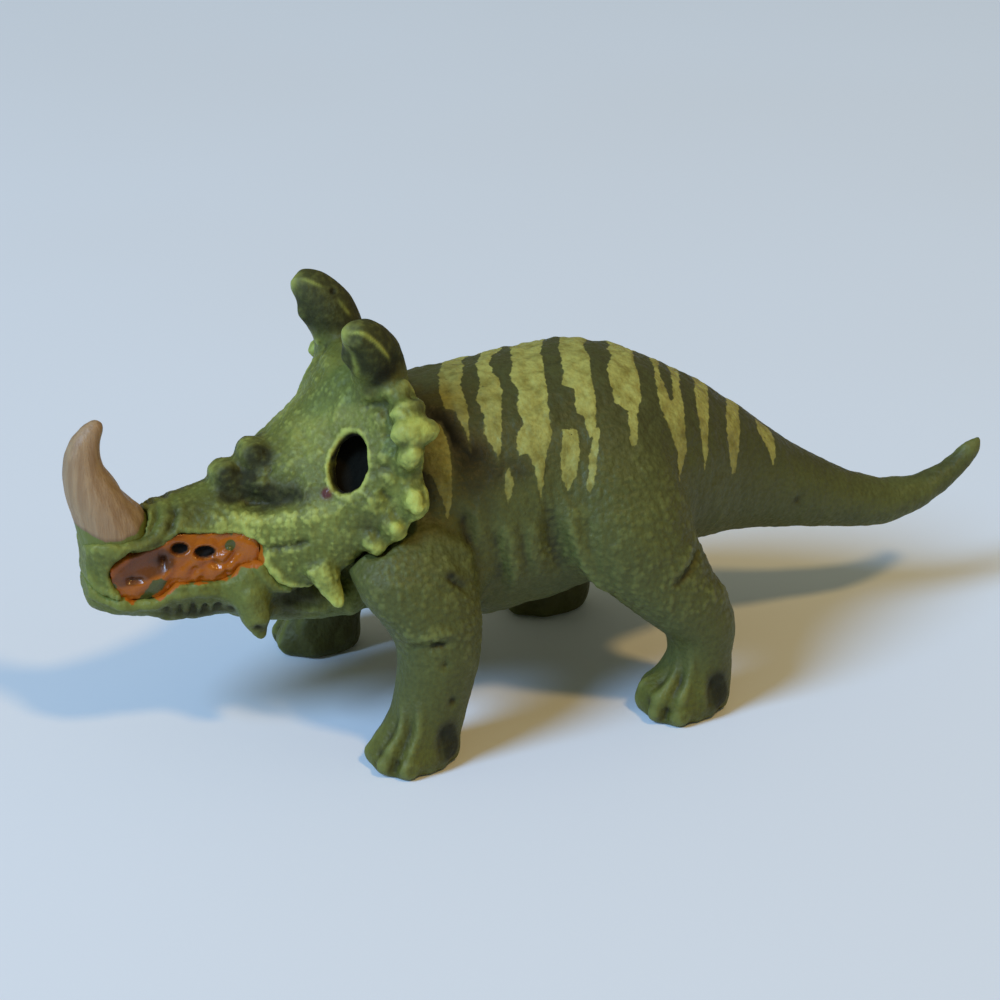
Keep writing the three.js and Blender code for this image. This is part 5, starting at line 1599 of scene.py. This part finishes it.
class FIGURE_OT_head(bpy.types.Operator):
    """Builds the head with its frill, hooks, knobs and cheek horns"""
    bl_idname = "figure.head"
    bl_label = "Head"

    def execute(self, context):
        settings = context.scene.toy_figure
        piece = shaped_blank(["head"], "head_skin", settings.head_voxel, 0, HEAD_ROUNDS)
        surface = Surface(piece)
        surface.raise_by(surface.close_gaps(HEAD_GAPS))
        divide_once(piece)
        surface = Surface(piece)
        edge = surface.strokes([(FRILL_EDGE, FRILL_EDGE_WIDTH, 1)])
        surface.relax(FRILL_ROUNDS, FRILL_WEIGHT * np.clip(edge, 0, 1))
        lime = np.clip(surface.lumps([(*bump, 1) for bump in LIME_BUMPS]), 0, 1)
        surface.raise_by(surface.lumps(EDGE_LUMPS)
                         + lime * LIME_HEIGHT * cloud(surface.points, *LIME_NOISE))
        surface.pull(EDGE_PULLS)
        surface.raise_by(surface.strokes(HEAD_STROKES) + surface.lumps(HEAD_LUMPS)
                         + surface.rings(HEAD_RINGS))
        points = surface.points
        calm = 1 - smooth_share(points[:, 2], *HOOK_CALM)
        cheek = np.clip(surface.strokes([(CHEEK_BAND, CHEEK_WIDTH, 1)]), 0, 1)
        share = between(FACE_PEBBLES, cheek) * calm
        pitch = HEAD_PEBBLE_SHARE * settings.pebble_pitch / MM
        grown = share * pebbles(points, pitch, HEAD_PEBBLE_SEED)
        wave = FACE_FOLDS * billows(points, *FACE_FOLD_NOISE)
        wave += FACE_WRINKLES * cloud(points, *FACE_WRINKLE_NOISE)
        surface.raise_by(wave * calm + settings.pebble_height / MM * grown)
        keep_in_box(surface, ["head"])
        surface.tag("pebble", grown)
        surface.tag("lime", lime)
        self.tag_head(surface)
        material = green_vinyl("head_vinyl", settings, settings.head_green,
                               settings.head_light, settings.head_wash_and_shade, *HEAD_WEAR_AND_SHADE, False)
        hand_over(piece, "head", material)
        return {"FINISHED"}

    def tag_head(self, surface):
        """Masks that the head's paints follow."""
        surface.tag_hollows()
        x, _, z = surface.points.T
        rub = FRILL_RUB - SNOUT_LESS_RUB * smooth_share(x, *SNOUT_START)
        surface.tag("rub", np.clip(rub - surface.lumps(KNOB_PLACES), RUB_LEAST, RUB_MOST))
        surface.tag("orange", outline_depth(surface.points[:, (0, 2)], MOUTH_OUTLINE))
        tips = HOOK_TIP_LESS * np.clip(surface.lumps(HOOK_TIPS), 0, 1)
        hooks = smooth_share(z, *HOOK_START) * (HOOK_DARK - tips)
        # Dark paint and painted shade of the head, and the hooks' dark paint
        surface.tag("stain_and_shade", np.clip(surface.lumps(HEAD_STAINS_AND_SHADE) + hooks, 0, HEAD_STAIN_AND_SHADE_MOST))
        surface.tag("pale", np.clip(surface.lumps(PALE_PLACES), 0, 1))
        surface.tag("speck", np.clip(surface.lumps([EYE]), 0, SPECK_MOST))
        # Painted shade in the frill's opening, and nearly black painted shade at the hooks
        opening_shade = 1 - smooth_share(surface.ring_reach(HEAD_RINGS[0]), *HOLE_SHADE)
        surface.tag("shade", np.clip(opening_shade + surface.lumps(HEAD_DEEP_SHADE), 0, 1))
        surface.tag("parting", np.clip(surface.strokes(PARTING_LINES), 0, PARTING_MOST))


class FIGURE_OT_horn(bpy.types.Operator):
    """Builds the nose horn"""
    bl_idname = "figure.horn"
    bl_label = "Nose horn"

    def execute(self, context):
        settings = context.scene.toy_figure
        piece = shaped_blank(["nose_horn"], "nose_horn_skin", SMALL_VOXEL, 0, HORN_ROUNDS)
        divide_once(piece)
        surface = Surface(piece)
        surface.raise_by(surface.lumps(HORN_LUMPS))
        surface.pull(HORN_PULLS)
        ridges = cloud(surface.points * HORN_RIDGES_DRAWN, *HORN_RIDGE_NOISE)
        surface.raise_by(ridges * HORN_RIDGE_HEIGHT)
        keep_in_box(surface, ["nose_horn"])
        surface.tag_hollows()
        level = np.interp(surface.points[:, 0], *HORN_FOOT)
        surface.tag("foot", level - surface.points[:, 2])
        hand_over(piece, "nose_horn", horn_vinyl(settings))
        return {"FINISHED"}


class FIGURE_OT_mouth(bpy.types.Operator):
    """Builds the glossy piece between the jaws"""
    bl_idname = "figure.mouth"
    bl_label = "Mouth piece"

    def execute(self, context):
        settings = context.scene.toy_figure
        piece = shaped_blank(["mouth_insert"], "mouth_insert_skin", SMALL_VOXEL, 0, MOUTH_ROUNDS)
        divide_once(piece)
        surface = Surface(piece)
        places = surface.points[:, (0, 2)]
        reach = np.min([
            np.linalg.norm((places - middle) / radii, axis=1) for middle, radii in MOUTH_HOLES],
            axis=0)
        pit = 1 - smooth_share(reach, *PIT_EDGE)
        rim = np.exp(-((reach - RIM_MIDDLE) / RIM_WIDTH) ** 2)
        wall = 1 - smooth_share(np.abs(surface.normals[:, 1]), *WALL_TURN)
        wet = surface.lumps(WET_PLACES) * cloud(surface.points, *WET_NOISE)
        surface.raise_by(MOUTH_FILL + MOUTH_RIM * rim - MOUTH_PIT_DEPTH * pit + MOUTH_WALL * wall
                         + surface.strokes(MOUTH_STROKES) + wet
                         + MOUTH_SWELLING * cloud(surface.points, *MOUTH_SWELLING_NOISE))
        keep_in_box(surface, ["mouth_insert"])
        # Painted shade in the pits and dark folds, where the piece is also matt and without coat
        surface.tag("pit", np.clip(pit + surface.lumps(MOUTH_FOLD_SHADE), 0, 1))
        spread = ORANGE_SPREAD * smooth_share(places[:, 1], *ORANGE_SPREAD_RANGE)
        spread -= surface.lumps(GREEN_SPOTS)
        surface.tag("orange", outline_depth(places, MOUTH_OUTLINE) + spread)
        # Brown red of the beak's sunk part and folds, partly painted shade
        leaf = smooth_share(outline_depth(places, LEAF_OUTLINE), *LEAF_EDGE)
        brown = LEAF_BROWN_AND_SHADE * leaf + surface.lumps(MOUTH_STAINS_AND_SHADE)
        surface.tag("brown", np.clip(brown, 0, BROWN_AND_SHADE_MOST))
        hand_over(piece, "mouth_insert", mouth_vinyl(settings))
        return {"FINISHED"}


def area_light(name, place, size, power, shade):
    light = bpy.data.lights.new(name, "AREA")
    light.shape = "DISK"
    light.size = size
    light.energy = power
    light.color = shade
    holder = new_object(name, light)
    holder.location = place
    way = CAMERA_TARGET - Vector(place)
    holder.rotation_euler = way.to_track_quat("-Z", "Y").to_euler()
    return holder


class FIGURE_OT_stage(bpy.types.Operator):
    """Sets up the floor, the lights and the camera"""
    bl_idname = "figure.stage"
    bl_label = "Floor, lights and camera"

    def execute(self, context):
        settings = context.scene.toy_figure
        self.floor(settings)
        area_light("window_light", WINDOW_PLACE, WINDOW_SIZE, settings.window_power,
                   settings.window_tint)
        area_light("lamp_light", LAMP_PLACE, LAMP_SIZE, settings.lamp_power, settings.lamp_tint)
        world = bpy.data.worlds.new("soft_room")
        world.use_nodes = True
        sky = world.node_tree.nodes["Background"]
        sky.inputs["Color"].default_value = (*settings.room_tint, 1)
        sky.inputs["Strength"].default_value = settings.room_light
        context.scene.world = world
        context.scene.view_settings.view_transform = "Standard"
        self.camera(context)
        return {"FINISHED"}

    def floor(self, settings):
        deselect_all()
        bpy.ops.mesh.primitive_plane_add(size=FLOOR_SIZE, location=(0, 0, 0))
        plane = bpy.context.active_object
        plane.name = "floor"
        material, tree, shader = new_material("floor_card")
        place = millimetres(tree)
        shade = mixed(tree, patchy(tree, place, *FLOOR_PATCHES), settings.floor_tint,
                      mixed(tree, FLOOR_GREY_SHARE, settings.floor_tint, FLOOR_GREY))
        tree.links.new(shade, shader.inputs["Base Color"])
        shader.inputs["Roughness"].default_value = FLOOR_ROUGHNESS
        shader.inputs["Specular IOR Level"].default_value = FLOOR_SPECULAR
        plane.data.materials.append(material)

    def camera(self, context):
        lens = bpy.data.cameras.new("camera")
        lens.lens = CAMERA_LENS
        lens.sensor_width = CAMERA_SENSOR
        lens.shift_x, lens.shift_y = CAMERA_SHIFT
        lens.clip_start, lens.clip_end = CAMERA_CLIP
        holder = new_object("camera", lens)
        back = Vector((
            math.sin(CAMERA_AZIMUTH) * math.cos(CAMERA_ELEVATION),
            -math.cos(CAMERA_AZIMUTH) * math.cos(CAMERA_ELEVATION),
            math.sin(CAMERA_ELEVATION)))
        holder.location = CAMERA_TARGET + back * CAMERA_DISTANCE
        holder.rotation_euler = back.to_track_quat("Z", "Y").to_euler()
        context.scene.camera = holder


class FIGURE_PT_panel(bpy.types.Panel):
    """Lists the figure's settings and builders"""
    bl_idname = "FIGURE_PT_panel"
    bl_label = "Toy dinosaur"
    bl_space_type = "VIEW_3D"
    bl_region_type = "UI"
    bl_category = "Figure"

    def draw(self, context):
        for operator in OPERATORS:
            self.layout.operator(operator.bl_idname)
        for name in FigureSettings.__annotations__:
            self.layout.prop(context.scene.toy_figure, name)


OPERATORS = (FIGURE_OT_stage, FIGURE_OT_skin, FIGURE_OT_head, FIGURE_OT_horn, FIGURE_OT_mouth)
CLASSES = (FigureSettings, *OPERATORS, FIGURE_PT_panel)


def register():
    for entry in CLASSES:
        bpy.utils.register_class(entry)
    bpy.types.Scene.toy_figure = PointerProperty(type=FigureSettings)


def unregister():
    del bpy.types.Scene.toy_figure
    for entry in reversed(CLASSES):
        bpy.utils.unregister_class(entry)


def main():
    register()
    bpy.ops.figure.stage()
    bpy.ops.figure.skin()
    bpy.ops.figure.head()
    bpy.ops.figure.horn()
    bpy.ops.figure.mouth()


if __name__ == "__main__":
    main()
